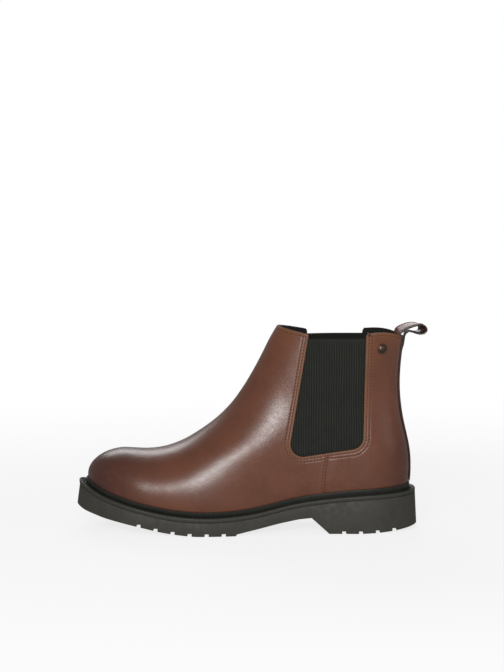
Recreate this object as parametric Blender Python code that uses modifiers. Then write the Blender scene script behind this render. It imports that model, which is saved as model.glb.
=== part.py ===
"""A left chelsea boot, built the way the real one is: leather upper panels over stiffeners,
elastic gores and linings, on an insole board, shank, welt and moulded rubber outsole.

Lengths are in millimetres until a mesh is made, and MM turns them into metres. The toe points
along -X, the outer (lateral) side of the foot is -Y, +Z is up, and the floor is z = 0.

The shape of the foot is one function, half_width(x, z, side): how far the outside of the leather
stands from the boot's centre line, at a place in the side view. Every panel is a patch drawn in
the side view and lifted onto that surface, and its depth below the surface says which layer it
belongs to.
"""

import math

import bmesh
import bpy
import numpy as np
from mathutils import Matrix, Vector

MM = 0.001
LATERAL, MEDIAL = -1, 1

# Driving dimensions of the whole boot.
TOE_X, HEEL_X = -146.0, 139.3  # the upper, at its two ends
RAND_HEIGHT = 5.0  # how far the welt's upstand climbs the leather
LIP_THICKNESS = 3.6
WELT_FLANGE = 5.5  # how far the welt reaches in under the upper
SHANK_START, SHANK_END = -6.0, 96.0
GAP = 0.3  # between pieces that touch on the real boot

# Depth below the outer surface of the leather at which each layer starts, and its thickness.
LEATHER = (0.0, 1.5)
STIFFENER = (1.8, 1.4)
ELASTIC = (2.5, 0.9)
LINING = (4.0, 0.9)
HEEL_GRIP = (5.2, 0.8)
BACKSTAY = (-1.5, 1.2)

# The opening for the elastic, as the corners of its outline in the side view, and the seam below it.
GORE_TOP_FRONT, GORE_TOP_REAR = (49.3, 174.0), (99.6, 174.3)
GORE_LOW_FRONT, GORE_LOW_REAR = (31.3, 65.2), (97.0, 74.8)
GORE_CORNER_RADIUS = 11.0
GORE_SEAM_ALLOWANCE = 5.0  # the elastic runs this far under the leather
GORE_TOP_DROP = 4.0  # its top edge lies this far below the leather's corners
SEAM_TOP_X, SEAM_FOOT_X = 66.3, 62.0
UNDER_GORE_X = 34.0  # where the vamp's panel turns back below the opening
BACKSTAY_WIDTH = 13.0

# Pull tab: a strap folded into a loop, and the line along Y on which it swings.
TAB_WIDTH, TAB_THICKNESS = 14.0, 1.6
TAB_HINGE_X, TAB_HINGE_Z = 127.4, 173.4

# The stud on the outer quarter.
STUD_X, STUD_Z, STUD_RADIUS, STUD_HEIGHT = 113.7, 160.7, 4.6, 1.5

# Outsole.
GROOVE_WIDTH, GROOVE_DEPTH, GROOVE_REACH = 3.6, 2.2, 20.0
FOREPART_GROOVES = [-98.5 + 14.8 * i for i in range(6)]
HEEL_GROOVES = [80.5 + 14.7 * i for i in range(4)]
HEEL_BREAST_TOP, HEEL_BREAST_FOOT = (52.0, 14.0), (67.5, 0.0)
FOREPART_END_X = -14.0

COLOURS = {
    "leather": ((0.19, 0.075, 0.04), 0.42, 0.0),
    "elastic": ((0.018, 0.018, 0.017), 0.9, 0.0),
    "lining": ((0.012, 0.012, 0.012), 0.85, 0.0),
    "rubber": ((0.045, 0.043, 0.037), 0.7, 0.0),
    "welt": ((0.025, 0.027, 0.025), 0.55, 0.0),
    "fibreboard": ((0.45, 0.32, 0.18), 0.9, 0.0),
    "foam": ((0.05, 0.05, 0.05), 0.95, 0.0),
    "cork": ((0.42, 0.25, 0.12), 0.95, 0.0),
    "steel": ((0.55, 0.55, 0.56), 0.3, 1.0),
    "bronze": ((0.09, 0.065, 0.045), 0.4, 1.0),
}


# ---------------------------------------------------------------- curves


def spline(points):
    """A natural cubic spline through (position, value) points, straight past its ends."""
    x, y = np.array(points, float).T
    h, n = np.diff(x), len(x)
    matrix, right = np.eye(n), np.zeros(n)
    for i in range(1, n - 1):
        matrix[i, i - 1 : i + 2] = h[i - 1], 2 * (h[i - 1] + h[i]), h[i]
        right[i] = 3 * ((y[i + 1] - y[i]) / h[i] - (y[i] - y[i - 1]) / h[i - 1])
    bend = np.linalg.solve(matrix, right)
    slope = np.diff(y) / h - h * (2 * bend[:-1] + bend[1:]) / 3
    twist = np.diff(bend) / (3 * h)
    end_slope = slope[-1] + h[-1] * (2 * bend[-2] + 3 * twist[-1] * h[-1])

    def value(t):
        t = np.asarray(t, float)
        inside = np.clip(t, x[0], x[-1])
        i = np.clip(np.searchsorted(x, inside, side="right") - 1, 0, n - 2)
        d = inside - x[i]
        smooth = y[i] + d * (slope[i] + d * (bend[i] + d * twist[i]))
        return smooth + (t - inside) * np.where(t < x[0], slope[0], end_slope)

    return value


def round_end(share, power):
    """The height of a rounded end: 0 at share 0, up a superellipse to 1 at share 1 and beyond."""
    s = np.clip(share, 0.0, 1.0)
    return (1.0 - (1.0 - s) ** power) ** (1.0 / power)


def ease(t):
    """0 to 1 with level ends."""
    t = np.clip(t, 0.0, 1.0)
    return t * t * (3.0 - 2.0 * t)


def along(path, distances):
    """Points of a polyline at these distances along it."""
    steps = np.linalg.norm(np.diff(path, axis=0), axis=1)
    at = np.concatenate([[0.0], np.cumsum(steps)])
    return np.stack([np.interp(distances, at, path[:, k]) for k in range(path.shape[1])], axis=1)


def length_of(path):
    return float(np.linalg.norm(np.diff(path, axis=0), axis=1).sum())


def evenly(path, count):
    return along(path, np.linspace(0.0, length_of(path), count))


# ---------------------------------------------------------------- the shape of the foot

# Height of the welt's upper edge against the leather, along the boot.
rand_top = spline(
    [(-146, 43.5), (-133, 37.6), (-117, 32.4), (-96, 27.0), (-75, 23.0), (-53, 20.7), (-30, 20.4)]
    + [(-10, 21.8), (8, 24.6), (33, 30.2), (60, 34.4), (86, 37.0), (113, 38.8), (139, 40.2)]
)

# Side view: the ridge of the boot from the toe up the instep, and the line of the heel and back.
RIDGE_BASE_Z, TOE_ROUND = 47.0, 34.0
instep_line = spline(
    [(-146, 70.0), (-128, 69.9), (-112, 69.7), (-94, 69.0), (-78, 71.0), (-62, 76.8), (-45, 87.0)]
    + [(-28, 100.4), (-12, 118.8), (0, 138.0), (9, 155.2), (16, 169.0), (22.5, 180.0)]
)
back_line = spline(
    [(30, 136.2), (40, 138.4), (53, 139.3), (66, 138.8), (80, 136.4), (95, 133.0), (112, 130.3)]
    + [(130, 129.3), (150, 130.4), (162, 131.8), (176, 134.0)]
)

# Plan view: the greatest half width of each side, before the rounded toe and heel, and the
# centre line's own bend.
plan_width = {
    LATERAL: spline(
        [(-146, 37), (-120, 42.5), (-95, 47), (-70, 50), (-50, 51), (-30, 49.5), (-5, 45)]
        + [(20, 39.8), (45, 36.3), (75, 35), (105, 35), (140, 35)]
    ),
    MEDIAL: spline(
        [(-146, 36), (-120, 42), (-95, 46.5), (-75, 48.5), (-55, 47.5), (-30, 42.5), (-5, 36.5)]
        + [(20, 32.8), (45, 31.8), (75, 33), (105, 34.2), (140, 34.5)]
    ),
}
centre_line = spline(
    [(-146, 5.0), (-110, 3.6), (-75, 1.6), (-40, 0.2), (0, -0.6), (50, 0.0), (140, 0.0)]
)
shaft_width = spline([(40, 37.5), (70, 36.5), (95, 35.0), (120, 33.6), (150, 32.8), (180, 32.2)])


def feather(x):
    """Height of the feather edge, where the upper meets the bottom of the boot."""
    return rand_top(x) - RAND_HEIGHT


def ridge(x):
    """Height of the ridge above the toe, vamp and instep, with the toe's rounded front."""
    return RIDGE_BASE_Z + (instep_line(x) - RIDGE_BASE_Z) * round_end((x - TOE_X) / TOE_ROUND, 1.9)


_ridge_x = np.linspace(-66.0, 40.0, 400)
_ridge_z = instep_line(_ridge_x)


def shaft_front(z):
    """Where the front of the shaft is at a height; below the instep it runs on, inside the foot."""
    below = _ridge_x[0] - (_ridge_z[0] - z) * 2.3
    return np.where(z < _ridge_z[0], below, np.interp(z, _ridge_z, _ridge_x))


def foot_half_width(x, z, side):
    """Half width of the foot: rounded at toe and heel, and arched from feather edge to ridge."""
    heel_x = x + (HEEL_X - back_line(z)) * ease((x - 30.0) / 80.0)
    toe_round = round_end((x - TOE_X) / 52.0, 2.15)
    heel_round = round_end((HEEL_X - heel_x) / 46.0, 2.35)
    plan = plan_width[side](x) * toe_round * heel_round
    low, top = feather(x), np.maximum(ridge(x), feather(x) + 1.0)
    rise = 17.0 * (1.0 - np.exp(-0.3 * (top - low) / 17.0))
    under = np.clip((low + rise - z) / rise, 0.0, 1.5)
    over = 1.0 - (z - low - rise) / (top - low - rise)
    return plan * np.where(under > 0, 1.0 - 0.085 * under**2, round_end(over, 2.15))


def shaft_half_width(x, z):
    """Half width of the shaft part: a rounded oval at each height."""
    front, back = shaft_front(z), back_line(z)
    share = (x - front) / (back - front)
    return shaft_width(z) * round_end(share / 0.5, 2.1) * round_end((1.0 - share) / 0.46, 2.3)


def half_width(x, z, side):
    x, z = np.asarray(x, float), np.asarray(z, float)
    blend = ease((z - 66.0) / 60.0)
    return (1.0 - blend) * foot_half_width(x, z, side) + blend * shaft_half_width(x, z)


def lift(flat, side):
    """Points of the side view, (x, z), placed on the leather's outer surface."""
    x, z = flat[:, 0], flat[:, 1]
    return np.stack([x, centre_line(x) + side * half_width(x, z, side), z], axis=1)


# ---------------------------------------------------------------- outlines in the side view


def rounded_corner(before, corner, after, radius, steps=6):
    """Points of the arc that rounds a corner."""
    p = np.array(corner, float)
    a, b = (np.array(q, float) - p for q in (before, after))
    a, b = a / np.linalg.norm(a), b / np.linalg.norm(b)
    half = math.acos(np.clip(a @ b, -1, 1)) / 2
    middle = (a + b) / np.linalg.norm(a + b)
    centre = p + middle * radius / math.sin(half)
    start, end = p + a * radius / math.tan(half) - centre, p + b * radius / math.tan(half) - centre
    sweep = math.pi - 2 * half
    turn = math.copysign(1.0, start[0] * end[1] - start[1] * end[0])
    angles = turn * sweep * np.linspace(0, 1, steps)
    c, s = np.cos(angles), np.sin(angles)
    return centre + np.stack([start[0] * c - start[1] * s, start[0] * s + start[1] * c], axis=1)


def gore_outline(grow=0.0, top=0.0):
    """The opening's edge, from the top of its front round to the top of its rear, grown outwards."""
    tf = np.array(GORE_TOP_FRONT) + (-grow, top)
    tr = np.array(GORE_TOP_REAR) + (grow, top)
    lf = np.array(GORE_LOW_FRONT) + (-grow, -grow)
    lr = np.array(GORE_LOW_REAR) + (grow, -grow)
    radius = GORE_CORNER_RADIUS + grow
    return np.concatenate(
        [[tf], rounded_corner(tf, lf, lr, radius), rounded_corner(lf, lr, tr, radius), [tr]]
    )


def split_at_seam():
    """The opening's edge in its front part, seam to front top, and its rear part, seam to rear top."""
    path = evenly(gore_outline(), 400)
    low = int(np.argmin(abs(path[:, 0] - SEAM_TOP_X) + 100.0 * (path[:, 1] > GORE_LOW_REAR[1])))
    return path[: low + 1][::-1], path[low:]


def feather_path(x_start, x_end, bunching=1.0):
    x = x_start + (x_end - x_start) * np.linspace(0, 1, 200) ** bunching
    return np.stack([x, feather(x) + GAP], axis=1)


VAMP_TOP = (22.3, 179.8)
TOP_OF_BACK = 170.6
rear_top = spline([(99.6, 174.3), (112, 175.0), (124, 173.6), (133, TOP_OF_BACK)])


def ridge_path():
    """The vamp's centre line in the side view, from the toe's feather edge to the top of the shaft."""
    wall_z = np.linspace(float(feather(TOE_X)) + GAP, RIDGE_BASE_Z, 20)
    wall = np.stack([np.full(20, TOE_X), wall_z], axis=1)
    x = TOE_X + (VAMP_TOP[0] - TOE_X) * np.linspace(0, 1, 600) ** 1.6
    return np.concatenate([wall, np.stack([x, ridge(x)], axis=1)[1:]])


def rib(start, end, side, columns, before=0.0, after=0.0):
    """A line over the foot between two places of the side view, in even steps, clear of its ends."""
    bunched = (1 - np.cos(np.linspace(0, math.pi / 2, 60)))[:, None]
    points = lift(start + (end - start) * bunched, side)
    points[0, 1] = centre_line(points[0, 0])
    return along(points, np.linspace(before, length_of(points) - after, columns))


def vamp_grids(side):
    """Half of the vamp: a grid from ridge to edge, toe to shaft top, and a grid below the gore."""
    front_edge, _ = split_at_seam()
    corner = int(np.argmin(front_edge @ (1.0, 1.0)))
    toe_to_gore = feather_path(TOE_X, UNDER_GORE_X, bunching=1.6)
    foot, gore_corner = toe_to_gore[-1], front_edge[corner]
    edges = (
        along(toe_to_gore, length_of(toe_to_gore) * np.linspace(0, 1, 20) ** 1.25),
        foot + (gore_corner - foot) * np.linspace(0, 1, 6)[1:, None],
        evenly(front_edge[corner:], 12)[1:],
    )
    ridge_spots = (
        0.6 * np.linspace(0, 1, 20) ** 1.1,
        np.linspace(0.6, 0.72, 6)[1:],
        np.linspace(0.72, 1, 12)[1:],
    )
    ends, shares = np.concatenate(edges), np.concatenate(ridge_spots)
    top_line = ridge_path()
    starts = along(top_line, length_of(top_line) * shares)
    over_foot = np.array([rib(a, b, side, 11) for a, b in zip(starts, ends)])
    below = feather_path(UNDER_GORE_X, SEAM_FOOT_X - GAP / 2)
    above = front_edge[: corner + 1][::-1] - (GAP / 2, 0.0) * np.linspace(0, 1, corner + 1)[:, None]
    low, high = evenly(below, 7), evenly(above, 7)
    under_gore = np.array([lift(low + (high - low) * t, side) for t in np.linspace(0, 1, 6)])
    return [over_foot, under_gore]


def quarter_grid(side):
    """One quarter: each row runs forward from the back seam to the panel's edge. Rows go upwards."""
    _, rear_edge = split_at_seam()
    corner = int(np.argmax(rear_edge[:, 0] > GORE_LOW_REAR[0] - 1.0))
    foot = np.array([SEAM_FOOT_X, float(feather(SEAM_FOOT_X)) + GAP])
    seam = np.array([foot, rear_edge[0]]) + (GAP / 2, 0.0)
    below_gore, beside_gore = evenly(rear_edge[: corner + 1], 6), evenly(rear_edge[corner:], 10)
    ends = np.concatenate([evenly(seam, 4), below_gore[1:], beside_gore[1:]])
    heights = np.linspace(float(feather(138.0)) + GAP, TOP_OF_BACK, 300)
    back = np.stack([back_line(heights), heights], axis=1)
    back_spots = (
        np.linspace(0, 0.16, 4),
        np.linspace(0.16, 0.36, 6)[1:],
        np.linspace(0.36, 1, 10)[1:],
    )
    shares = np.concatenate(back_spots)
    rows = []
    for start, end, share in zip(along(back, length_of(back) * shares), ends, shares):
        x = np.linspace(start[0], end[0], 60)
        z = start[1] + (end[1] - start[1]) * (start[0] - x) / (start[0] - end[0])
        straight_foot = np.interp(x, [end[0], start[0]], [foot[1], heights[0]])
        to_foot = np.clip(1 - share / 0.16, 0, 1) * (feather(x) + GAP - straight_foot)
        to_top = np.clip((share - 0.9) / 0.1, 0, 1) * (rear_top(np.clip(x, 99.6, 133.0)) - z)
        rows.append(quarter_rib(np.stack([x, z + to_foot + to_top], axis=1), side))
    return np.array(rows)


def quarter_rib(flat, side):
    """A row of a quarter over the foot, in even steps from just beside the back seam."""
    bunched = len(flat) - 1 - np.linspace(0, 1, 80) ** 0.5 * (len(flat) - 1)
    steps = np.arange(len(flat))
    fine = np.stack([np.interp(bunched[::-1], steps, flat[:, k]) for k in range(2)], axis=1)
    points = lift(fine, side)
    return along(points, np.linspace(GAP, length_of(points), 10))


def gore_grid(side):
    """The elastic: it fills the opening and runs on under the leather round it."""
    outline = evenly(gore_outline(GORE_SEAM_ALLOWANCE, -GORE_TOP_DROP), 300)
    front_corner = int(np.argmin(outline @ (1.0, 1.0)))
    rear_corner = int(np.argmax(outline @ (1.0, -1.0)))
    front = evenly(outline[: front_corner + 1], 13)
    rear = evenly(outline[rear_corner:][::-1], 13)
    bottom = evenly(outline[front_corner : rear_corner + 1], 9)
    across = np.linspace(0, 1, 9)[:, None]
    sag = bottom - (front[-1] + (rear[-1] - front[-1]) * across)
    drops = np.linspace(0, 1, 13) ** 3
    rows = [a + (b - a) * across + sag * drop for a, b, drop in zip(front, rear, drops)]
    return np.array([lift(row, side) for row in rows])


def backstay_grid():
    """The strip that covers the seam down the back."""
    rows = []
    for z in np.linspace(float(rand_top(138.0)) + 2.0, TOP_OF_BACK - 0.5, 16):
        x = back_line(z) - 14.0 * np.linspace(0, 1, 60) ** 2
        flat = np.stack([x, np.full_like(x, z)], axis=1)
        medial = along(lift(flat, MEDIAL), (BACKSTAY_WIDTH / 2, BACKSTAY_WIDTH / 4, 0.0))
        lateral = along(lift(flat, LATERAL), (BACKSTAY_WIDTH / 4, BACKSTAY_WIDTH / 2))
        rows.append(np.concatenate([medial, lateral]))
    return np.array(rows)


# ---------------------------------------------------------------- making objects


def clear_scene():
    for obj in list(bpy.data.objects):
        bpy.data.objects.remove(obj)


def new_collection(name):
    collection = bpy.data.collections.new(name)
    bpy.context.scene.collection.children.link(collection)
    return collection


def material(kind):
    found = bpy.data.materials.get(kind)
    if found:
        return found
    colour, roughness, metallic = COLOURS[kind]
    made = bpy.data.materials.new(kind)
    made.use_nodes = True
    shader = made.node_tree.nodes["Principled BSDF"]
    shader.inputs["Base Color"].default_value = (*colour, 1.0)
    shader.inputs["Roughness"].default_value = roughness
    shader.inputs["Metallic"].default_value = metallic
    return made


def add_mesh(name, points, faces, kind, collection):
    """An object from points in millimetres and its faces, welded and facing out."""
    mesh = bpy.data.meshes.new(name)
    mesh.from_pydata([tuple(p * MM) for p in np.asarray(points, float)], [], faces)
    work = bmesh.new()
    work.from_mesh(mesh)
    bmesh.ops.remove_doubles(work, verts=work.verts, dist=2e-5)
    bmesh.ops.dissolve_degenerate(work, edges=work.edges, dist=1e-5)
    bmesh.ops.recalc_face_normals(work, faces=work.faces)
    if work.calc_volume(signed=True) < 0.0:
        bmesh.ops.reverse_faces(work, faces=work.faces)
    work.to_mesh(mesh)
    work.free()
    mesh.shade_smooth()
    obj = bpy.data.objects.new(name, mesh)
    collection.objects.link(obj)
    if kind:
        mesh.materials.append(material(kind))
    return obj


def grid_faces(rows, columns, around=False):
    """Quads of a grid of points stored row by row; around closes each row on itself."""
    faces = []
    for r in range(rows - 1):
        for c in range(columns if around else columns - 1):
            d = (c + 1) % columns
            low, high = r * columns, (r + 1) * columns
            faces.append((low + c, low + d, high + d, high + c))
    return faces


def sheet(name, grids, layer, kind, collection):
    """A panel of the upper: patches welded together, moved in to their layer and given thickness."""
    work = bmesh.new()
    for grid in grids:
        rows, columns = grid.shape[:2]
        corners = [work.verts.new(p * MM) for p in grid.reshape(-1, 3)]
        for face in grid_faces(rows, columns):
            work.faces.new([corners[i] for i in face])
    bmesh.ops.remove_doubles(work, verts=work.verts, dist=2e-5)
    bmesh.ops.recalc_face_normals(work, faces=work.faces)
    if sum(f.normal.y * f.calc_center_median().y * f.calc_area() for f in work.faces) < 0.0:
        bmesh.ops.reverse_faces(work, faces=work.faces)
    mesh = bpy.data.meshes.new(name)
    work.to_mesh(mesh)
    work.free()
    mesh.shade_smooth()
    mesh.materials.append(material(kind))
    obj = bpy.data.objects.new(name, mesh)
    collection.objects.link(obj)
    depth, thickness = layer
    if depth:
        inset = obj.modifiers.new("depth", "DISPLACE")
        inset.mid_level = 0.0
        inset.strength = -depth * MM
    shell = obj.modifiers.new("thickness", "SOLIDIFY")
    shell.thickness = thickness * MM
    shell.offset = -1.0


# ---------------------------------------------------------------- the bottom of the boot


def plan_loop(count, outset, height=0.0):
    """A closed loop of plan points round the upper, above its feather edge, moved outwards."""
    end = HEEL_X
    for _ in range(4):
        end = float(back_line(feather(end) + height))
    x = (TOE_X + end) / 2 - (end - TOE_X) / 2 * np.cos(np.linspace(0, math.pi, 200))
    lateral, medial = (
        np.stack([x, centre_line(x) + side * half_width(x, feather(x) + height, side)], axis=1)
        for side in (LATERAL, MEDIAL)
    )
    loop = evenly(np.concatenate([lateral, medial[-2::-1]]), count + 1)[:-1]
    tangent = np.roll(loop, -1, axis=0) - np.roll(loop, 1, axis=0)
    tangent /= np.linalg.norm(tangent, axis=1)[:, None]
    outward = np.stack([tangent[:, 1], -tangent[:, 0]], axis=1)
    amount = outset(loop[:, 0]) if callable(outset) else outset
    return loop + outward * np.reshape(amount, (-1, 1))


def tube(name, rings, kind, collection, closed=False):
    """A solid from rings of points: capped at its two ends, or closed end to end."""
    count = len(rings[0])
    rings = rings + [rings[0]] if closed else rings
    faces = grid_faces(len(rings), count, around=True)
    if not closed:
        last = (len(rings) - 1) * count
        faces += [tuple(range(count)), tuple(range(last + count - 1, last - 1, -1))]
    return add_mesh(name, np.concatenate(rings), faces, kind, collection)


def slab(name, inset, low, high, kind, collection, start=TOE_X, end=HEEL_X):
    """A sheet in the bottom of the boot, between two heights above the feather edge."""
    loop = plan_loop(400, -inset)
    loop = np.roll(loop, -int(np.argmin(loop[:, 0])), axis=0)
    heel = int(np.argmax(loop[:, 0]))
    lateral_edge, medial_edge = loop[: heel + 1], loop[: heel - 1 : -1]
    first, last = max(start, loop[:, 0].min() + 0.4), min(end, loop[:, 0].max() - 0.4)
    rings = []
    for x in (first + last) / 2 - (last - first) / 2 * np.cos(np.linspace(0, math.pi, 26)):
        lateral = np.interp(x, lateral_edge[:, 0], lateral_edge[:, 1])
        medial = np.interp(x, medial_edge[:, 0], medial_edge[:, 1])
        base = float(feather(x))
        y = np.linspace(lateral, medial, 3)
        rings.append([(x, v, base + low(x)) for v in y] + [(x, v, base + high(x)) for v in y[::-1]])
    return tube(name, [np.array(r) for r in rings], kind, collection)


def level(height):
    """The same height all along the boot."""
    return lambda x: height


# How far the welt's lip stands out from the upper, and how much the outsole's wall widens
# downwards for each millimetre, along the boot.
lip_outset = spline(
    [(-146, 7.8), (-110, 7.2), (-50, 7.0), (10, 6.0), (60, 6.2), (110, 7.0), (140, 7.4)]
)
wall_flare = spline([(-146, 0.135), (-120, 0.10), (-60, 0.06), (20, 0.05), (140, 0.05)])


def make_welt(parts):
    """A rubber storm welt: a flange under the upper, a lip outside it, an upstand on the leather."""
    section = [
        (level(0.5), 0.0, 0.0),
        (level(0.5), RAND_HEIGHT, RAND_HEIGHT),
        (level(1.7), RAND_HEIGHT, RAND_HEIGHT),
        (level(2.6), 0.3, 0.0),
        (lambda x: lip_outset(x) - 0.8, 0.3, 0.0),
        (lip_outset, -0.6, 0.0),
        (lip_outset, -LIP_THICKNESS, 0.0),
        (level(-WELT_FLANGE), -LIP_THICKNESS, 0.0),
        (level(-WELT_FLANGE), 0.0, 0.0),
    ]
    rings = []
    for outset, up, at in section:
        plan = plan_loop(110, outset, at)
        rings.append(np.column_stack([plan, feather(plan[:, 0]) + up]))
    tube("welt", rings, "welt", parts, closed=True)


def sole_top(x):
    """Height of the welt's underside, which the outsole is moulded to."""
    return feather(x) - LIP_THICKNESS


def sole_underside():
    """The outsole's underside in the side view, toe to heel."""
    tread = spline(
        [(-170, 30.0), (-153, 20.0), (-145, 17.2), (-137, 15.3), (-130, 13.5), (-122, 11.9)]
        + [(-108, 9.2), (-94, 6.5), (-80, 3.6), (-70, 2.1), (-58, 0.8), (-50, 0.15), (-44, 0.0)]
    )
    x = np.linspace(-164, -44, 26)
    forepart = np.stack([x, np.maximum(tread(x), 0.0)], axis=1)
    end_of_tread = [(FOREPART_END_X, 0.0), (FOREPART_END_X + 1.0, 1.6)]
    waist = end_of_tread + [(5.0, 5.4), (24.0, 9.8), (41.0, 13.0)]
    heel = [(95.0, 0.0), (110.0, 0.7), (125.0, 2.0), (138.0, 3.6), (164.0, 7.2)]
    return np.concatenate([forepart, waist, [HEEL_BREAST_TOP, HEEL_BREAST_FOOT], heel])


def make_outsole(parts, cutters):
    """The moulded unit: flared walls below the welt, cut to the side profile, with tread grooves."""
    rings = []
    for z in (-12.0, 60.0):
        plan = plan_loop(96, lambda x, z=z: lip_outset(x) + wall_flare(x) * (sole_top(x) - z))
        rings.append(np.column_stack([plan, np.full(96, z)]))
    outsole = tube("outsole", rings, "rubber", parts)
    outsole.data.shade_flat()
    x = np.linspace(164, -164, 64)
    top = np.stack([x, sole_top(x) - GAP], axis=1)
    profile = np.concatenate([sole_underside(), top])
    near = np.column_stack([profile[:, 0], np.full(len(profile), -90.0), profile[:, 1]])
    side_view = tube("side_profile", [near, near * (1, -1, 1)], None, cutters)
    cut(outsole, side_view, "INTERSECT")
    cut(outsole, tread_grooves(cutters), "DIFFERENCE")


def tread_grooves(cutters):
    """Short slots across both edges of the tread, as one helper mesh of separate boxes."""
    underside, edge = sole_underside(), plan_loop(400, lip_outset)
    work = bmesh.new()
    for x in FOREPART_GROOVES + HEEL_GROOVES:
        top = float(np.interp(x, underside[:, 0], underside[:, 1])) + GROOVE_DEPTH
        for side in (LATERAL, MEDIAL):
            near = edge[np.sign(edge[:, 1] - centre_line(edge[:, 0])) == side]
            inner = near[np.argmin(abs(near[:, 0] - x)), 1] - side * GROOVE_REACH
            size = (GROOVE_WIDTH * MM, 0.04, 0.02)
            centre = (x * MM, inner * MM + side * 0.02, top * MM - 0.01)
            place = Matrix.Translation(centre) @ Matrix.Diagonal((*size, 1.0))
            bmesh.ops.create_cube(work, size=1.0, matrix=place)
    mesh = bpy.data.meshes.new("tread_grooves")
    work.to_mesh(mesh)
    work.free()
    grooves = bpy.data.objects.new("tread_grooves", mesh)
    cutters.objects.link(grooves)
    return grooves


def cut(obj, helper, operation):
    """A live Boolean of one object with a helper, which is left out of renders."""
    change = obj.modifiers.new(operation.lower(), "BOOLEAN")
    change.operation = operation
    change.object = helper
    change.solver = "EXACT"
    helper.hide_render = True
    helper.display_type = "WIRE"


def make_shank(parts):
    """A ribbed steel strip under the waist of the insole board."""
    rings = []
    for x in np.linspace(SHANK_START, SHANK_END, 14):
        base = float(feather(x))
        section = [(-6, -1.9), (0, -1.4), (6, -1.9), (6, -0.7), (0, -0.2), (-6, -0.7)]
        rings.append(np.array([(x, y, base + up) for y, up in section]))
    tube("shank", rings, "steel", parts)


def make_inside_bottom(parts):
    """The layers between the foot and the welt, apart from the shank."""
    slab("insole_board", 6.0, level(0.3), level(2.3), "fibreboard", parts)

    def under_sock(x):
        return 2.6 + 2.0 * float(ease((x - 30.0) / 30.0))

    def over_filler(x):
        return -2.2 + 1.9 * float(ease((SHANK_START - 2.0 - x) / 30.0))

    slab("sock", 6.0, under_sock, lambda x: under_sock(x) + 3.0, "foam", parts)
    slab("heel_pad", 9.0, level(2.6), level(4.3), "foam", parts, start=60.0)
    under_filler = level(-LIP_THICKNESS + 0.05)
    slab("bottom_filler", WELT_FLANGE + 0.7, under_filler, over_filler, "cork", parts)


# ---------------------------------------------------------------- the pieces


def make_upper(parts):
    """The leather panels, the elastic, and the stiffeners and linings behind them."""
    vamp = {side: vamp_grids(side) for side in (LATERAL, MEDIAL)}
    quarter = {side: quarter_grid(side) for side in (LATERAL, MEDIAL)}
    whole_vamp = vamp[LATERAL] + vamp[MEDIAL]
    sheet("vamp", whole_vamp, LEATHER, "leather", parts)
    sheet("vamp_lining", whole_vamp, LINING, "lining", parts)
    for name, side in (("lateral", LATERAL), ("medial", MEDIAL)):
        sheet(f"{name}_quarter", [quarter[side]], LEATHER, "leather", parts)
        sheet(f"{name}_gore", [gore_grid(side)], ELASTIC, "elastic", parts)
    toe = [vamp[side][0][:11, :9] for side in (LATERAL, MEDIAL)]
    sheet("toe_puff", toe, STIFFENER, "fibreboard", parts)
    heel = np.concatenate([quarter[MEDIAL][:, :0:-1], quarter[LATERAL]], axis=1)
    middle = heel.shape[1] // 2
    sheet("quarter_lining", [heel], LINING, "lining", parts)
    sheet("heel_counter", [heel[:9, middle - 4 : middle + 5]], STIFFENER, "fibreboard", parts)
    sheet("heel_grip", [heel[6:15, middle - 3 : middle + 4]], HEEL_GRIP, "lining", parts)
    sheet("backstay", [backstay_grid()], BACKSTAY, "leather", parts)


def closed_spline(points, count):
    """A closed Catmull-Rom curve through points, in even steps."""
    t = np.linspace(0, 1, 12, endpoint=False)[:, None]
    fine = []
    for i in range(len(points)):
        a, b, c, d = (points[(i + k - 1) % len(points)] for k in range(4))
        curved, twisted = 2 * a - 5 * b + 4 * c - d, 3 * b - a - 3 * c + d
        fine.append(b + 0.5 * ((c - a) * t + curved * t**2 + twisted * t**3))
    return evenly(np.concatenate(fine + [points[:1]]), count + 1)[:-1]


def make_pull_tab(parts):
    """A strap folded into a loop that leans back from the back seam. Its origin is on the hinge."""
    upper_strand = [(-0.4, 1.6), (3.4, 5.4), (7.8, 7.5), (12.8, 8.3), (18.8, 7.8), (24.8, 6.1)]
    fold = [(27.4, 2.8), (26.4, 0.2)]
    lower_strand = [(21.4, -1.0), (16.0, -0.7), (10.8, 0.4), (6.2, 0.2), (2.6, -0.1), (-0.2, 0.0)]
    centre = closed_spline(np.array(upper_strand + fold + lower_strand), 44)
    ahead = np.roll(centre, -1, axis=0) - np.roll(centre, 1, axis=0)
    ahead /= np.linalg.norm(ahead, axis=1)[:, None]
    sideways = np.stack([ahead[:, 1], -ahead[:, 0]], axis=1)
    band = bpy.data.curves.new("pull_tab", "CURVE")
    band.dimensions = "2D"
    band.fill_mode = "BOTH"
    band.extrude = TAB_WIDTH / 2 * MM
    for offset in (TAB_THICKNESS / 2, -TAB_THICKNESS / 2):
        line = band.splines.new("POLY")
        line.points.add(len(centre) - 1)
        line.use_cyclic_u = True
        for point, (x, z) in zip(line.points, (centre + sideways * offset) * MM):
            point.co = (x, z, 0.0, 1.0)
    tab = bpy.data.objects.new("pull_tab", band)
    tab.rotation_euler = (math.pi / 2, 0.0, 0.0)
    tab.location = (TAB_HINGE_X * MM, 0.0, TAB_HINGE_Z * MM)
    band.materials.append(material("leather"))
    parts.objects.link(tab)


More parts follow.
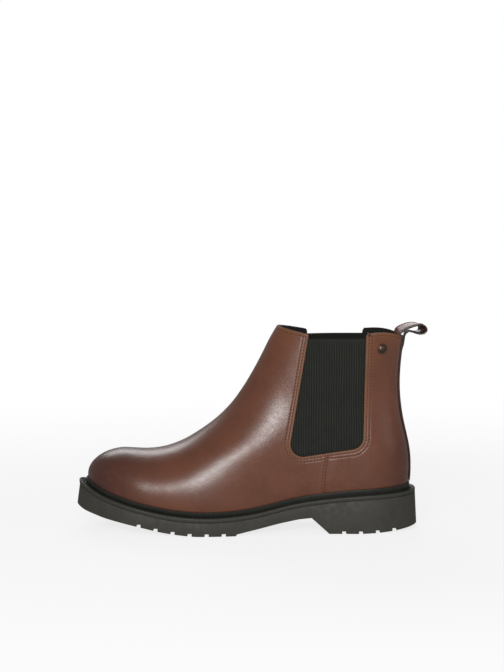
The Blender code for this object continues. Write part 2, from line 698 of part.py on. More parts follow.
def make_stud(parts):
    """A plain domed stud on the outer quarter, near its top."""
    spots = np.array([(STUD_X, STUD_Z), (STUD_X + 1, STUD_Z), (STUD_X, STUD_Z + 1)])
    here, ahead, above = lift(spots, LATERAL)
    outward = Vector(np.cross(ahead - here, above - here)).normalized()
    radii = STUD_RADIUS * np.array((0.0, 0.5, 0.78, 0.94, 1.0, 1.0, 0.0))
    heights = STUD_HEIGHT * np.array((1.0, 0.92, 0.72, 0.45, 0.2, 0.0, 0.0)) + 2 * GAP
    profile = [(radius * MM, 0.0, height * MM) for radius, height in zip(radii, heights)]
    mesh = bpy.data.meshes.new("stud")
    mesh.from_pydata(profile, [(i, i + 1) for i in range(len(profile) - 1)], [])
    mesh.materials.append(material("bronze"))
    stud = bpy.data.objects.new("stud", mesh)
    turn = stud.modifiers.new("turn", "SCREW")
    turn.steps = turn.render_steps = 20
    turn.use_merge_vertices = True
    turn.merge_threshold = 0.00005
    stud.rotation_mode = "QUATERNION"
    stud.rotation_quaternion = outward.to_track_quat("Z", "Y")
    stud.location = here * MM
    parts.objects.link(stud)


def main():
    clear_scene()
    parts = new_collection("chelsea_boot")
    cutters = new_collection("cutters")
    make_upper(parts)
    make_pull_tab(parts)
    make_stud(parts)
    make_inside_bottom(parts)
    make_shank(parts)
    make_welt(parts)
    make_outsole(parts, cutters)


main()
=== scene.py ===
"""Looks of the chelsea boot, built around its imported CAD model.

Lengths are in millimetres until a mesh is made, and MM turns them into metres. The toe points along -X, the
outer (lateral) side of the foot is -Y, +Z is up, and the floor is z = 0.

The upper's shape is the same function of the side view that the CAD model has, half_width(x, z, side). Every
soft panel is a fine patch of that surface with its own depth below it, its own rounded edges and its seams.
"""

import math

import bmesh
import bpy
import numpy as np
from mathutils import Matrix, Vector, noise
from mathutils.bvhtree import BVHTree
from mathutils.kdtree import KDTree


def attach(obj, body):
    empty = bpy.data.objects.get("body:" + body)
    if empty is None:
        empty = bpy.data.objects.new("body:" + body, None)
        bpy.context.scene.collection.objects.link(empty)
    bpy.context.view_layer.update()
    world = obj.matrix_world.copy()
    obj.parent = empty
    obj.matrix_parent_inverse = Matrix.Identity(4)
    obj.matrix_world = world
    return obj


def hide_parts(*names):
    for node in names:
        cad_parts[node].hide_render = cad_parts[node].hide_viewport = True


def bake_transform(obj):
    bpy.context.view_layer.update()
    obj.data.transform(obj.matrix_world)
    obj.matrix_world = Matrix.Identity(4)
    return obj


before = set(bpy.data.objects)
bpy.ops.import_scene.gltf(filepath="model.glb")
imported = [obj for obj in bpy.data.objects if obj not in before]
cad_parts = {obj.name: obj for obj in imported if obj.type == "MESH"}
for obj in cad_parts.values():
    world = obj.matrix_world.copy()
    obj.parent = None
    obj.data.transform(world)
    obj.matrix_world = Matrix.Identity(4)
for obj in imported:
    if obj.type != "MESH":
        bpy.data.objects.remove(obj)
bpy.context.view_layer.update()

MM = 0.001
LATERAL, MEDIAL = -1, 1

# Driving dimensions, as in the CAD model.
TOE_X, HEEL_X = -146.0, 139.3
RAND_HEIGHT = 5.0
LIP_THICKNESS = 3.6
WELT_SEWN_TO_X = -5.0
WELT_FLANGE = 5.5
GAP = 0.3  # between pieces that touch on the real boot
GORE_TOP_FRONT, GORE_TOP_REAR = (49.3, 174.0), (99.6, 174.3)
GORE_LOW_FRONT, GORE_LOW_REAR = (31.3, 65.2), (97.0, 74.8)
GORE_CORNER_RADIUS = 11.0
GORE_SEAM_ALLOWANCE = 5.0  # the elastic runs this far under the leather
GORE_TOP_DROP = 4.0  # its top edge lies this far below the leather's corners
SEAM_TOP_X, SEAM_FOOT_X = 66.3, 62.0
UNDER_GORE_X, BEHIND_GORE_X = 34.0, 99.0
BACKSTAY_WIDTH, BACKSTAY_ROW = 13.0, 1.9
BACKSTAY_SEWN_TO_Z = 154.0
TOP_ROW_END_X = 130.5
VAMP_TOP = (22.3, 179.8)
BACK_TOP_X, TOP_OF_BACK = 133.0, 170.6
BACK_LEAN = -0.155  # the back line's outward direction along Z, at its top
TAB_WIDTH, TAB_THICKNESS = 14.0, 1.6
TAB_HINGE_X, TAB_HINGE_Z = 127.4, 173.4
STUD_X, STUD_Z, STUD_RADIUS, STUD_HEIGHT = 113.7, 160.7, 4.6, 1.5
GROOVE_WIDTH, GROOVE_DEPTH, GROOVE_REACH = 3.6, 2.2, 20.0
FOREPART_GROOVES = [-98.5 + 14.8 * i for i in range(6)]
HEEL_GROOVES = [80.5 + 14.7 * i for i in range(4)]
HEEL_BREAST_TOP, HEEL_BREAST_FOOT = (52.0, 14.0), (67.5, 0.0)
FOREPART_END_X = -14.0

# Leather: its edges are turned in and sewn down with rows of stitches, at these distances from the edge.
LEATHER_THICKNESS, SKIVED_THICKNESS, LEAST_SKIN = 1.5, 0.8, 0.3
RIM_RADIUS = 0.8
EDGE_ROW, SECOND_ROW, SEAM_ROW = 2.6, 5.2, 2.3
STITCH_DIP, STITCH_DIP_WIDTH = 0.24, 0.55
STITCH_PITCH, STITCH_LENGTH, THREAD_RADIUS = 2.9, 2.1, 0.36
# Size of the small dark rod laid at each needle puncture: painted shade standing in for the puncture's depth.
PRICK_SHADE_SIZE = (0.42, 0.36, 0.16)
EDGE_TONE_AND_HIGHLIGHT_BAND = 3.4  # width of the paler band along an edge: paler turned leather, partly a painted highlight of the fold
FLAT_BORDER = 14.0  # the leather's gentle unevenness fades out over this distance from its edges
LEATHER_CORNER, LINING_CORNER = 2.2, 3.4

# Elastic: vertical ribs under a smooth woven top band.
ELASTIC_DEPTH, ELASTIC_THICKNESS = 1.7, 0.9
RIB_PITCH, RIB_HEIGHT, TOP_BAND = 2.2, 0.4, 3.0
LINING_DEPTH, LINING_TOP_DEPTH, LINING_THICKNESS = 4.0, 1.6, 0.9

# Distances from an edge at which a panel has its points, for leather and for lining.
FINE_STEPS = np.array(
    [0, 0.12, 0.3, 0.55, 0.85, 1.2, 1.6, 1.95, 2.2, 2.4, 2.6, 2.8, 3.05, 3.4, 3.9, 4.4, 4.75, 5.0, 5.2, 5.4,
     5.65, 6.0, 6.6, 7.6, 9.0, 11.0, 13.5]
)
LINING_STEPS = np.array([0, 0.25, 0.6, 1.1, 1.8, 2.7, 3.8, 5.2, 7.0, 9.5])


# ---------------------------------------------------------------- curves


def spline(points):
    """A natural cubic spline through (position, value) points, straight past its ends."""
    x, y = np.array(points, float).T
    h, n = np.diff(x), len(x)
    matrix, right = np.eye(n), np.zeros(n)
    for i in range(1, n - 1):
        matrix[i, i - 1 : i + 2] = h[i - 1], 2 * (h[i - 1] + h[i]), h[i]
        right[i] = 3 * ((y[i + 1] - y[i]) / h[i] - (y[i] - y[i - 1]) / h[i - 1])
    bend = np.linalg.solve(matrix, right)
    slope = np.diff(y) / h - h * (2 * bend[:-1] + bend[1:]) / 3
    twist = np.diff(bend) / (3 * h)
    end_slope = slope[-1] + h[-1] * (2 * bend[-2] + 3 * twist[-1] * h[-1])

    def value(t):
        t = np.asarray(t, float)
        inside = np.clip(t, x[0], x[-1])
        i = np.clip(np.searchsorted(x, inside, side="right") - 1, 0, n - 2)
        d = inside - x[i]
        smooth = y[i] + d * (slope[i] + d * (bend[i] + d * twist[i]))
        return smooth + (t - inside) * np.where(t < x[0], slope[0], end_slope)

    return value


def round_end(share, power):
    """The height of a rounded end: 0 at share 0, up a superellipse to 1 at share 1 and beyond."""
    s = np.clip(share, 0.0, 1.0)
    return (1.0 - (1.0 - s) ** power) ** (1.0 / power)


def ease(t):
    """0 to 1 with level ends."""
    t = np.clip(t, 0.0, 1.0)
    return t * t * (3.0 - 2.0 * t)


def along(path, distances):
    """Points of a polyline at these distances along it."""
    steps = np.linalg.norm(np.diff(path, axis=0), axis=1)
    at = np.concatenate([[0.0], np.cumsum(steps)])
    return np.stack([np.interp(distances, at, path[:, k]) for k in range(path.shape[1])], axis=1)


def length_of(path):
    return float(np.linalg.norm(np.diff(path, axis=0), axis=1).sum())


def evenly(path, count):
    return along(path, np.linspace(0.0, length_of(path), count))


def graded(length, middle, steps, fine_start=False, fine_end=False):
    """Distances along a line: fine steps at the chosen ends, with middle even steps between them."""
    near = steps * min(1.0, 0.4 * length / steps[-1])
    low = near if fine_start else near[:1]
    high = length - near[::-1] if fine_end else np.array([length])
    return np.concatenate([low, np.linspace(low[-1], high[0], middle + 2)[1:-1], high])


def catmull(points, steps):
    """A smooth open curve through points, with this many steps between two of them."""
    points = np.array(points, float)
    padded = np.concatenate([[2 * points[0] - points[1]], points, [2 * points[-1] - points[-2]]])
    t = np.linspace(0, 1, steps, endpoint=False)[:, None]
    fine = []
    for a, b, c, d in zip(padded, padded[1:], padded[2:], padded[3:]):
        square, cube = 2 * a - 5 * b + 4 * c - d, 3 * b - a - 3 * c + d
        fine.append(0.5 * (2 * b + (c - a) * t + square * t**2 + cube * t**3))
    return np.concatenate(fine + [points[-1:]])


# ---------------------------------------------------------------- the shape of the foot

rand_top = spline(
    [(-146, 43.5), (-133, 37.6), (-117, 32.4), (-96, 27.0), (-75, 23.0), (-53, 20.7), (-30, 20.4),
     (-10, 21.8), (8, 24.6), (33, 30.2), (60, 34.4), (86, 37.0), (113, 38.8), (139, 40.2)]
)
RIDGE_BASE_Z, TOE_ROUND = 47.0, 34.0
instep_line = spline(
    [(-146, 70.0), (-128, 69.9), (-112, 69.7), (-94, 69.0), (-78, 71.0), (-62, 76.8), (-45, 87.0),
     (-28, 100.4), (-12, 118.8), (0, 138.0), (9, 155.2), (16, 169.0), (22.5, 180.0)]
)
back_line = spline(
    [(30, 136.2), (40, 138.4), (53, 139.3), (66, 138.8), (80, 136.4), (95, 133.0), (112, 130.3),
     (130, 129.3), (150, 130.4), (162, 131.8), (176, 134.0)]
)
plan_width = {
    LATERAL: spline([(-146, 37), (-120, 42.5), (-95, 47), (-70, 50), (-50, 51), (-30, 49.5), (-5, 45),
                     (20, 39.8), (45, 36.3), (75, 35), (105, 35), (140, 35)]),
    MEDIAL: spline([(-146, 36), (-120, 42), (-95, 46.5), (-75, 48.5), (-55, 47.5), (-30, 42.5), (-5, 36.5),
                    (20, 32.8), (45, 31.8), (75, 33), (105, 34.2), (140, 34.5)]),
}
centre_line = spline([(-146, 5.0), (-110, 3.6), (-75, 1.6), (-40, 0.2), (0, -0.6), (50, 0.0), (140, 0.0)])
shaft_width = spline([(40, 37.5), (70, 36.5), (95, 35.0), (120, 33.6), (150, 32.8), (180, 32.2)])
rear_top = spline([GORE_TOP_REAR, (112, 175.0), (124, 173.6), (BACK_TOP_X, TOP_OF_BACK)])
lip_outset = spline([(-146, 7.8), (-110, 7.2), (-50, 7.0), (10, 6.0), (60, 6.2), (110, 7.0), (140, 7.4)])
wall_flare = spline([(-146, 0.135), (-120, 0.10), (-60, 0.06), (20, 0.05), (140, 0.05)])
_ridge_x = np.linspace(-66.0, 40.0, 400)
_ridge_z = instep_line(_ridge_x)


def feather(x):
    """Height of the feather edge, where the upper meets the bottom of the boot."""
    return rand_top(x) - RAND_HEIGHT


def ridge(x):
    """Height of the ridge above the toe, vamp and instep, with the toe's rounded front."""
    return RIDGE_BASE_Z + (instep_line(x) - RIDGE_BASE_Z) * round_end((x - TOE_X) / TOE_ROUND, 1.9)


def shaft_front(z):
    """Where the front of the shaft is at a height; below the instep it runs on, inside the foot."""
    below = _ridge_x[0] - (_ridge_z[0] - z) * 2.3
    return np.where(z < _ridge_z[0], below, np.interp(z, _ridge_z, _ridge_x))


def foot_half_width(x, z, side):
    """Half width of the foot part: plan width with a rounded toe and heel, arched from feather to ridge."""
    heel_x = x + (HEEL_X - back_line(z)) * ease((x - 30.0) / 80.0)
    toe_round = round_end((x - TOE_X) / 52.0, 2.15)
    heel_round = round_end((HEEL_X - heel_x) / 46.0, 2.35)
    plan = plan_width[side](x) * toe_round * heel_round
    low, top = feather(x), np.maximum(ridge(x), feather(x) + 1.0)
    rise = 17.0 * (1.0 - np.exp(-0.3 * (top - low) / 17.0))
    under = np.clip((low + rise - z) / rise, 0.0, 1.5)
    over = 1.0 - (z - low - rise) / (top - low - rise)
    return plan * np.where(under > 0, 1.0 - 0.085 * under**2, round_end(over, 2.15))


def shaft_half_width(x, z):
    """Half width of the shaft part: a rounded oval at each height."""
    front, back = shaft_front(z), back_line(z)
    share = (x - front) / (back - front)
    return shaft_width(z) * round_end(share / 0.5, 2.1) * round_end((1.0 - share) / 0.46, 2.3)


def half_width(x, z, side):
    x, z = np.asarray(x, float), np.asarray(z, float)
    blend = ease((z - 66.0) / 60.0)
    return (1.0 - blend) * foot_half_width(x, z, side) + blend * shaft_half_width(x, z)


def lift(flat, side):
    """Points of the side view, (x, z), placed on the leather's outer surface."""
    x, z = flat[:, 0], flat[:, 1]
    return np.stack([x, centre_line(x) + side * half_width(x, z, side), z], axis=1)


# ---------------------------------------------------------------- outlines in the side view


def rounded_corner(before, corner, after, radius, steps=12):
    """Points of the arc that rounds a corner."""
    p = np.array(corner, float)
    a, b = (np.array(q, float) - p for q in (before, after))
    a, b = a / np.linalg.norm(a), b / np.linalg.norm(b)
    half = math.acos(np.clip(a @ b, -1, 1)) / 2
    middle = (a + b) / np.linalg.norm(a + b)
    centre = p + middle * radius / math.sin(half)
    start, end = p + a * radius / math.tan(half) - centre, p + b * radius / math.tan(half) - centre
    sweep = math.pi - 2 * half
    turn = math.copysign(1.0, start[0] * end[1] - start[1] * end[0])
    angles = turn * sweep * np.linspace(0, 1, steps)
    c, s = np.cos(angles), np.sin(angles)
    return centre + np.stack([start[0] * c - start[1] * s, start[0] * s + start[1] * c], axis=1)


def gore_outline(grow=0.0, top=0.0):
    """The opening's edge, grown outwards, from its front side's top down and round to its rear side's."""
    top_front = np.array(GORE_TOP_FRONT) + (-grow, top)
    top_rear = np.array(GORE_TOP_REAR) + (grow, top)
    low_front = np.array(GORE_LOW_FRONT) + (-grow, -grow)
    low_rear = np.array(GORE_LOW_REAR) + (grow, -grow)
    radius = GORE_CORNER_RADIUS + grow
    front_arc = rounded_corner(top_front, low_front, low_rear, radius)
    rear_arc = rounded_corner(low_front, low_rear, top_rear, radius)
    return np.concatenate([[top_front], front_arc, rear_arc, [top_rear]])


def split_at_seam(grow=0.0, top=0.0):
    """The opening's edge, grown outwards, in its front part, seam to front top, and its rear part."""
    path = evenly(gore_outline(grow, top), 1200)
    low = int(np.argmin(abs(path[:, 0] - SEAM_TOP_X) + 100.0 * (path[:, 1] > GORE_LOW_REAR[1])))
    return path[: low + 1][::-1], path[low:]


def feather_path(x_start, x_end, bunching=1.0):
    x = x_start + (x_end - x_start) * np.linspace(0, 1, 400) ** bunching
    return np.stack([x, feather(x) + GAP], axis=1)


def ridge_path():
    """The vamp's centre line in the side view, from the toe's feather edge to the top of the shaft."""
    heights = np.linspace(float(feather(TOE_X)) + GAP, RIDGE_BASE_Z, 40)
    wall = np.stack([np.full_like(heights, TOE_X), heights], axis=1)
    x = TOE_X + (VAMP_TOP[0] - TOE_X) * np.linspace(0, 1, 1200) ** 1.6
    return np.concatenate([wall, np.stack([x, ridge(x)], axis=1)[1:]])


def soften(flat, corner, along_top, along_side, radius):
    """Moves points near a panel's square corner so that the corner becomes an arc."""
    axes = np.stack([np.array(v, float) / np.linalg.norm(v) for v in (along_top, along_side)])
    offset = (flat - corner) @ np.linalg.inv(axes)
    near = np.clip(1.0 - offset / radius, 0.0, 1.0)
    pulled = near * np.sqrt(1.0 - near[:, ::-1] ** 2 / 2.0)
    inside = ((offset < radius) & (offset > -radius)).all(axis=1)
    moved = np.where(inside[:, None], radius * (1.0 - pulled), offset)
    return corner + moved @ axes


FRONT_CORNER_SIDES = (np.subtract(VAMP_TOP, GORE_TOP_FRONT), np.subtract(GORE_LOW_FRONT, GORE_TOP_FRONT))
REAR_CORNER_SIDES = ((12.4, 0.9), np.subtract(GORE_LOW_REAR, GORE_TOP_REAR))
FOOT_SHARE, LINK_SHARE = 0.6, 0.12  # of the ridge, for rows down to the welt and those to the opening's foot
LOW_SHARE, TOP_SHARE = 0.3, 0.9  # of the back seam, where rows reach the opening and where they turn level


def rib(flat, side, middle, steps):
    """A line of the side view over the foot, from ridge or back seam to an edge, with fine steps there."""
    points = lift(flat, side)
    points[0, 1] = centre_line(points[0, 0])
    return along(points, graded(length_of(points), middle, steps, fine_end=True))


def edge_rows(link, upright, steps, density):
    """Where rows end: shares of the link from welt to opening, and distances up the opening's side."""
    link_rows = graded(1.0, round(8 * density), steps / np.linalg.norm(link), fine_end=True)
    return link_rows, graded(length_of(upright), round(40 * density), steps, fine_end=True)


def vamp_patches(side, steps, corner_radius, density=1.0):
    """Half of the vamp: a grid from ridge to edge, toe to top, and one that fills in under the gore."""
    front_edge, _ = split_at_seam()
    corner = int(np.argmin(front_edge @ (1.0, 1.0)))
    toe_to_gore = feather_path(TOE_X, UNDER_GORE_X, bunching=1.6)
    foot, gore_corner = toe_to_gore[-1], front_edge[corner]
    upright = front_edge[corner:]
    link_rows, upright_rows = edge_rows(gore_corner - foot, upright, steps, density)
    toe_rows = np.linspace(0, 1, round(70 * density))
    ends = np.concatenate([
        along(toe_to_gore, length_of(toe_to_gore) * toe_rows**1.25),
        foot + (gore_corner - foot) * link_rows[1:, None],
        along(upright, upright_rows[1:]),
    ])
    shares = np.concatenate([
        FOOT_SHARE * toe_rows**1.1,
        FOOT_SHARE + LINK_SHARE * link_rows[1:],
        FOOT_SHARE + LINK_SHARE + (1 - FOOT_SHARE - LINK_SHARE) * upright_rows[1:] / upright_rows[-1],
    ])
    top_line = ridge_path()
    starts = along(top_line, length_of(top_line) * shares)
    bunched = (1 - np.cos(np.linspace(0, math.pi / 2, 300)))[:, None]
    over_foot = []
    for start, end in zip(starts, ends):
        flat = soften(start + (end - start) * bunched, GORE_TOP_FRONT, *FRONT_CORNER_SIDES, corner_radius)
        over_foot.append(rib(flat, side, round(28 * density), steps))
    low, high = (
        along(path, graded(length_of(path), round(12 * density), steps, fine_end=True))
        for path in (feather_path(UNDER_GORE_X, SEAM_FOOT_X), front_edge[: corner + 1][::-1])
    )
    under_gore = np.array([lift(low + (high - low) * t, side) for t in link_rows])
    return [np.array(over_foot), under_gore]


def quarter_patches(side, steps, corner_radius, tuck=0.0, density=1.0):
    """One quarter: a grid from back seam to edge, and one below the gore that reaches under the vamp."""
    _, rear_edge = split_at_seam()
    corner = int(np.argmax(rear_edge @ (1.0, -1.0)))
    gore_corner, upright = rear_edge[corner], rear_edge[corner:]
    foot = np.array([BEHIND_GORE_X, float(feather(BEHIND_GORE_X)) + GAP])
    link_rows, upright_rows = edge_rows(gore_corner - foot, upright, steps, density)
    link = foot + (gore_corner - foot) * link_rows[:, None]
    ends = np.concatenate([link, along(upright, upright_rows[1:])])
    upper_shares = LOW_SHARE + (1 - LOW_SHARE) * upright_rows[1:] / upright_rows[-1]
    shares = np.concatenate([LOW_SHARE * link_rows, upper_shares])
    heights = np.linspace(float(feather(138.0)) + GAP, TOP_OF_BACK, 600)
    back = np.stack([back_line(heights), heights], axis=1)
    behind = []
    for start, end, share in zip(along(back, length_of(back) * shares), ends, shares):
        x = start[0] + (end[0] - start[0]) * np.linspace(0, 1, 200) ** 2
        level = start[1] + (end[1] - start[1]) * (start[0] - x) / (start[0] - end[0])
        straight = np.interp(x, [end[0], start[0]], [foot[1], heights[0]])
        to_foot = np.clip(1 - share / LOW_SHARE, 0, 1) * (feather(x) + GAP - straight)
        top = rear_top(np.clip(x, GORE_TOP_REAR[0], BACK_TOP_X))
        to_top = np.clip((share - TOP_SHARE) / (1 - TOP_SHARE), 0, 1) * (top - level)
        flat = np.stack([x, level + to_foot + to_top], axis=1)
        flat = soften(flat, GORE_TOP_REAR, *REAR_CORNER_SIDES, corner_radius)
        behind.append(rib(flat, side, round(22 * density), steps))
    below = feather_path(SEAM_FOOT_X - tuck, BEHIND_GORE_X)
    above = rear_edge[: corner + 1]
    if tuck:
        above = np.concatenate([above[:1] - (tuck, 0.0), above])
    columns = graded(1.0, round(16 * density), steps / length_of(above), fine_start=True)
    low, high = along(below, length_of(below) * columns), along(above, length_of(above) * columns)
    under_gore = np.array([lift(low + (high - low) * t, side) for t in link_rows])
    return [np.array(behind), under_gore]


# ---------------------------------------------------------------- making meshes


def grid_faces(rows, columns, around=False, end_to_end=False):
    """Quads of a grid of points stored row by row.

    around closes each row on itself, and end_to_end joins the last row to the first.
    """
    faces = []
    for r in range(rows if end_to_end else rows - 1):
        s = (r + 1) % rows
        for c in range(columns if around else columns - 1):
            d = (c + 1) % columns
            faces.append((r * columns + c, r * columns + d, s * columns + d, s * columns + c))
    return faces


def tube_faces(rings, count):
    """Faces of a solid stacked from rings of points, each closed on itself, with a cap on both ends."""
    last = (rings - 1) * count
    caps = [tuple(range(count)), tuple(range(last + count - 1, last - 1, -1))]
    return grid_faces(rings, count, around=True) + caps


def new_object(name, data):
    """An object in the scene with this data."""
    obj = bpy.data.objects.new(name, data)
    bpy.context.scene.collection.objects.link(obj)
    return obj


def set_attribute(obj, key, values):
    """Stores a number at each point of a mesh, which its material reads."""
    layer = obj.data.attributes.new(key, "FLOAT", "POINT")
    layer.data.foreach_set("value", np.asarray(values, np.float32))


def add_object(name, points, faces, material=None, sharp=50.0, weld=0.0):
    """A closed object from points in millimetres and its faces, which are turned to face out.

    Points closer than weld are joined, and edges that bend by more than sharp degrees stay sharp.
    """
    mesh = bpy.data.meshes.new(name)
    mesh.from_pydata((np.asarray(points, float) * MM).tolist(), [], faces)
    work = bmesh.new()
    work.from_mesh(mesh)
    if weld:
        bmesh.ops.remove_doubles(work, verts=work.verts, dist=weld * MM)
        bmesh.ops.dissolve_degenerate(work, edges=work.edges, dist=weld * MM / 2)
    bmesh.ops.recalc_face_normals(work, faces=work.faces)
    if work.calc_volume(signed=True) < 0.0:
        bmesh.ops.reverse_faces(work, faces=work.faces)
    work.to_mesh(mesh)
    work.free()
    mesh.shade_smooth()
    mesh.set_sharp_from_angle(angle=math.radians(sharp))
    if material:
        mesh.materials.append(MATERIALS[material])
    return new_object(name, mesh)


PATCH_WELD = 0.04


class Surface:
    """An open surface of patches joined at their borders: points, outward normals, faces, border edges."""

    def __init__(self, patches):
        work = bmesh.new()
        for grid in patches:
            rows, columns = grid.shape[:2]
            corners = [work.verts.new(p) for p in grid.reshape(-1, 3)]
            for face in grid_faces(rows, columns):
                work.faces.new([corners[i] for i in face])
        borders = [v for v in work.verts if v.is_boundary]
        bmesh.ops.remove_doubles(work, verts=borders, dist=PATCH_WELD)
        bmesh.ops.recalc_face_normals(work, faces=work.faces)
        if sum(f.normal.y * f.calc_center_median().y * f.calc_area() for f in work.faces) < 0.0:
            bmesh.ops.reverse_faces(work, faces=work.faces)
        work.normal_update()
        work.verts.index_update()
        self.points = np.array([v.co for v in work.verts])
        self.normals = np.array([v.normal for v in work.verts])
        self.faces = [tuple(v.index for v in f.verts) for f in work.faces]
        self.border = [
            (loop.vert.index, loop.link_loop_next.vert.index)
            for edge in work.edges if len(edge.link_faces) == 1
            for loop in edge.link_loops
        ]
        work.free()

    def steady_back(self):
        """Points the normals along the back seam, and those near its top, squarely out of the back line."""
        x, y, z = self.points.T
        seam = (x > 100.0) & (abs(y) < 0.2)
        top = (x > 126.0) & (z > 160.0)
        tilt = np.where(top, BACK_LEAN, self.normals[:, 2])
        level = np.where(seam[:, None], (1.0, 0.0), self.normals[:, :2])
        level *= (np.sqrt(1.0 - tilt**2) / np.linalg.norm(level, axis=1))[:, None]
        changed = seam | top
        self.normals[changed] = np.column_stack([level, tilt])[changed]

    def distance(self, *paths):
        """How far each point is from the nearest of these paths."""
        path = np.concatenate([evenly(p, max(2, round(length_of(p) / 0.3))) for p in paths])
        tree = KDTree(len(path))
        for i, p in enumerate(path):
            tree.insert(p, i)
        tree.balance()
        return np.array([tree.find(p)[2] for p in self.points])

    def shell(self, name, outer, inner, material, **attributes):
        """A closed sheet between two depths below the surface, and the tree of points of its outside.

        Each attribute is a pair of values, one for the outside and one for the inside.
        """
        count = len(self.points)
        outer, inner = (np.broadcast_to(np.asarray(d, float), count)[:, None] for d in (outer, inner))
        points = np.concatenate([self.points - self.normals * outer, self.points - self.normals * inner])
        faces = list(self.faces)
        faces += [tuple(i + count for i in face[::-1]) for face in self.faces]
        faces += [(b, a, a + count, b + count) for a, b in self.border]
        obj = add_object(name, points, faces, material)
        for key, pair in attributes.items():
            set_attribute(obj, key, np.concatenate([np.broadcast_to(values, count) for values in pair]))
        return obj, BVHTree.FromPolygons(points[:count].tolist(), self.faces)


def rim(distance, radius=RIM_RADIUS):
    """Depth of a rounded edge at a distance from it."""
    inward = radius - np.clip(distance, 0.0, radius)
    return radius - np.sqrt(radius**2 - inward**2)


def ripple(points, wavelength, seed):
    """Smooth noise from about -1 to 1 at each point."""
    return np.array([noise.noise(Vector(p / wavelength) + Vector((seed, 0, 0))) for p in points])


class Pieces:
    """Small closed solids that are collected into one object."""

    def __init__(self):
        self.points, self.faces, self.count = [], [], 0

    def add(self, points, faces):
        self.points.append(points)
        self.faces += [tuple(i + self.count for i in face) for face in faces]
        self.count += len(points)

    def make(self, name, material):
        return add_object(name, np.concatenate(self.points), self.faces, material, sharp=80.0)


def rounded_rod(rings=6, segments=8):
    """Points and faces of a rod along X with rounded ends, of half length 1 and radius 1."""
    points = []
    for a in np.radians(np.linspace(-75, 75, rings)):
        x, radius = math.copysign(abs(math.sin(a)) ** 0.6, a), math.cos(a) ** 0.7
        for t in np.linspace(0, 2 * math.pi, segments, endpoint=False):
            points.append((x, radius * math.cos(t), radius * math.sin(t)))
    start_tip, end_tip = len(points), len(points) + 1
    points += [(-1.0, 0.0, 0.0), (1.0, 0.0, 0.0)]
    faces = grid_faces(rings, segments, around=True)
    last = start_tip - segments
    for s in range(segments):
        t = (s + 1) % segments
        faces += [(start_tip, t, s), (end_tip, last + s, last + t)]
    return np.array(points), faces


ROD_POINTS, ROD_FACES = rounded_rod()


class Stitching:
    """Rows of stitches: threads, each a short rod that lies on the surface, and dark puncture marks between
    them, painted shade.
    """

    def __init__(self):
        self.threads, self.prick_shades = Pieces(), Pieces()

    def sew(self, path, tree, pitch=STITCH_PITCH, length=STITCH_LENGTH, radius=THREAD_RADIUS, lean=0.12):
        """Adds a row along a path on the surface that the tree holds; lean turns each stitch a little."""
        total = length_of(path)
        count = max(1, round(total / pitch))
        spots = (np.arange(count) + 0.5) * total / count
        centres, ahead = along(path, spots), along(path, spots + 0.2) - along(path, spots - 0.2)
        for centre, direction in zip(centres, ahead):
            place, normal, _, _ = tree.find_nearest(Vector(centre))
            place, up = np.array(place), np.array(normal)
            forward = direction - up * (direction @ up)
            forward = forward / np.linalg.norm(forward)
            forward = forward + np.cross(up, forward) * lean
            forward = forward / np.linalg.norm(forward)
            axes = np.stack([forward, np.cross(up, forward), up])
            thread_size = np.reshape((length / 2, radius, radius * 0.8), (3, 1))
            self.threads.add(ROD_POINTS @ (axes * thread_size) + place + up * radius * 0.15, ROD_FACES)
            # A small dark rod just above the surface between two stitches: painted shade of the needle's
            # puncture.
            prick_shade = place + forward * (pitch / 2) + up * 0.02
            self.prick_shades.add(ROD_POINTS @ (axes * np.reshape(PRICK_SHADE_SIZE, (3, 1))) + prick_shade, ROD_FACES)


# ---------------------------------------------------------------- materials


def add_node(tree, kind, inputs=None, **settings):
    """A node with its settings, and its inputs set to values or linked to other nodes' outputs."""
    made = tree.nodes.new("ShaderNode" + kind)
    for name, value in settings.items():
        setattr(made, name, value)
    for name, value in (inputs or {}).items():
        if isinstance(value, bpy.types.NodeSocket):
            tree.links.new(value, made.inputs[name])
        else:
            made.inputs[name].default_value = value
    return made


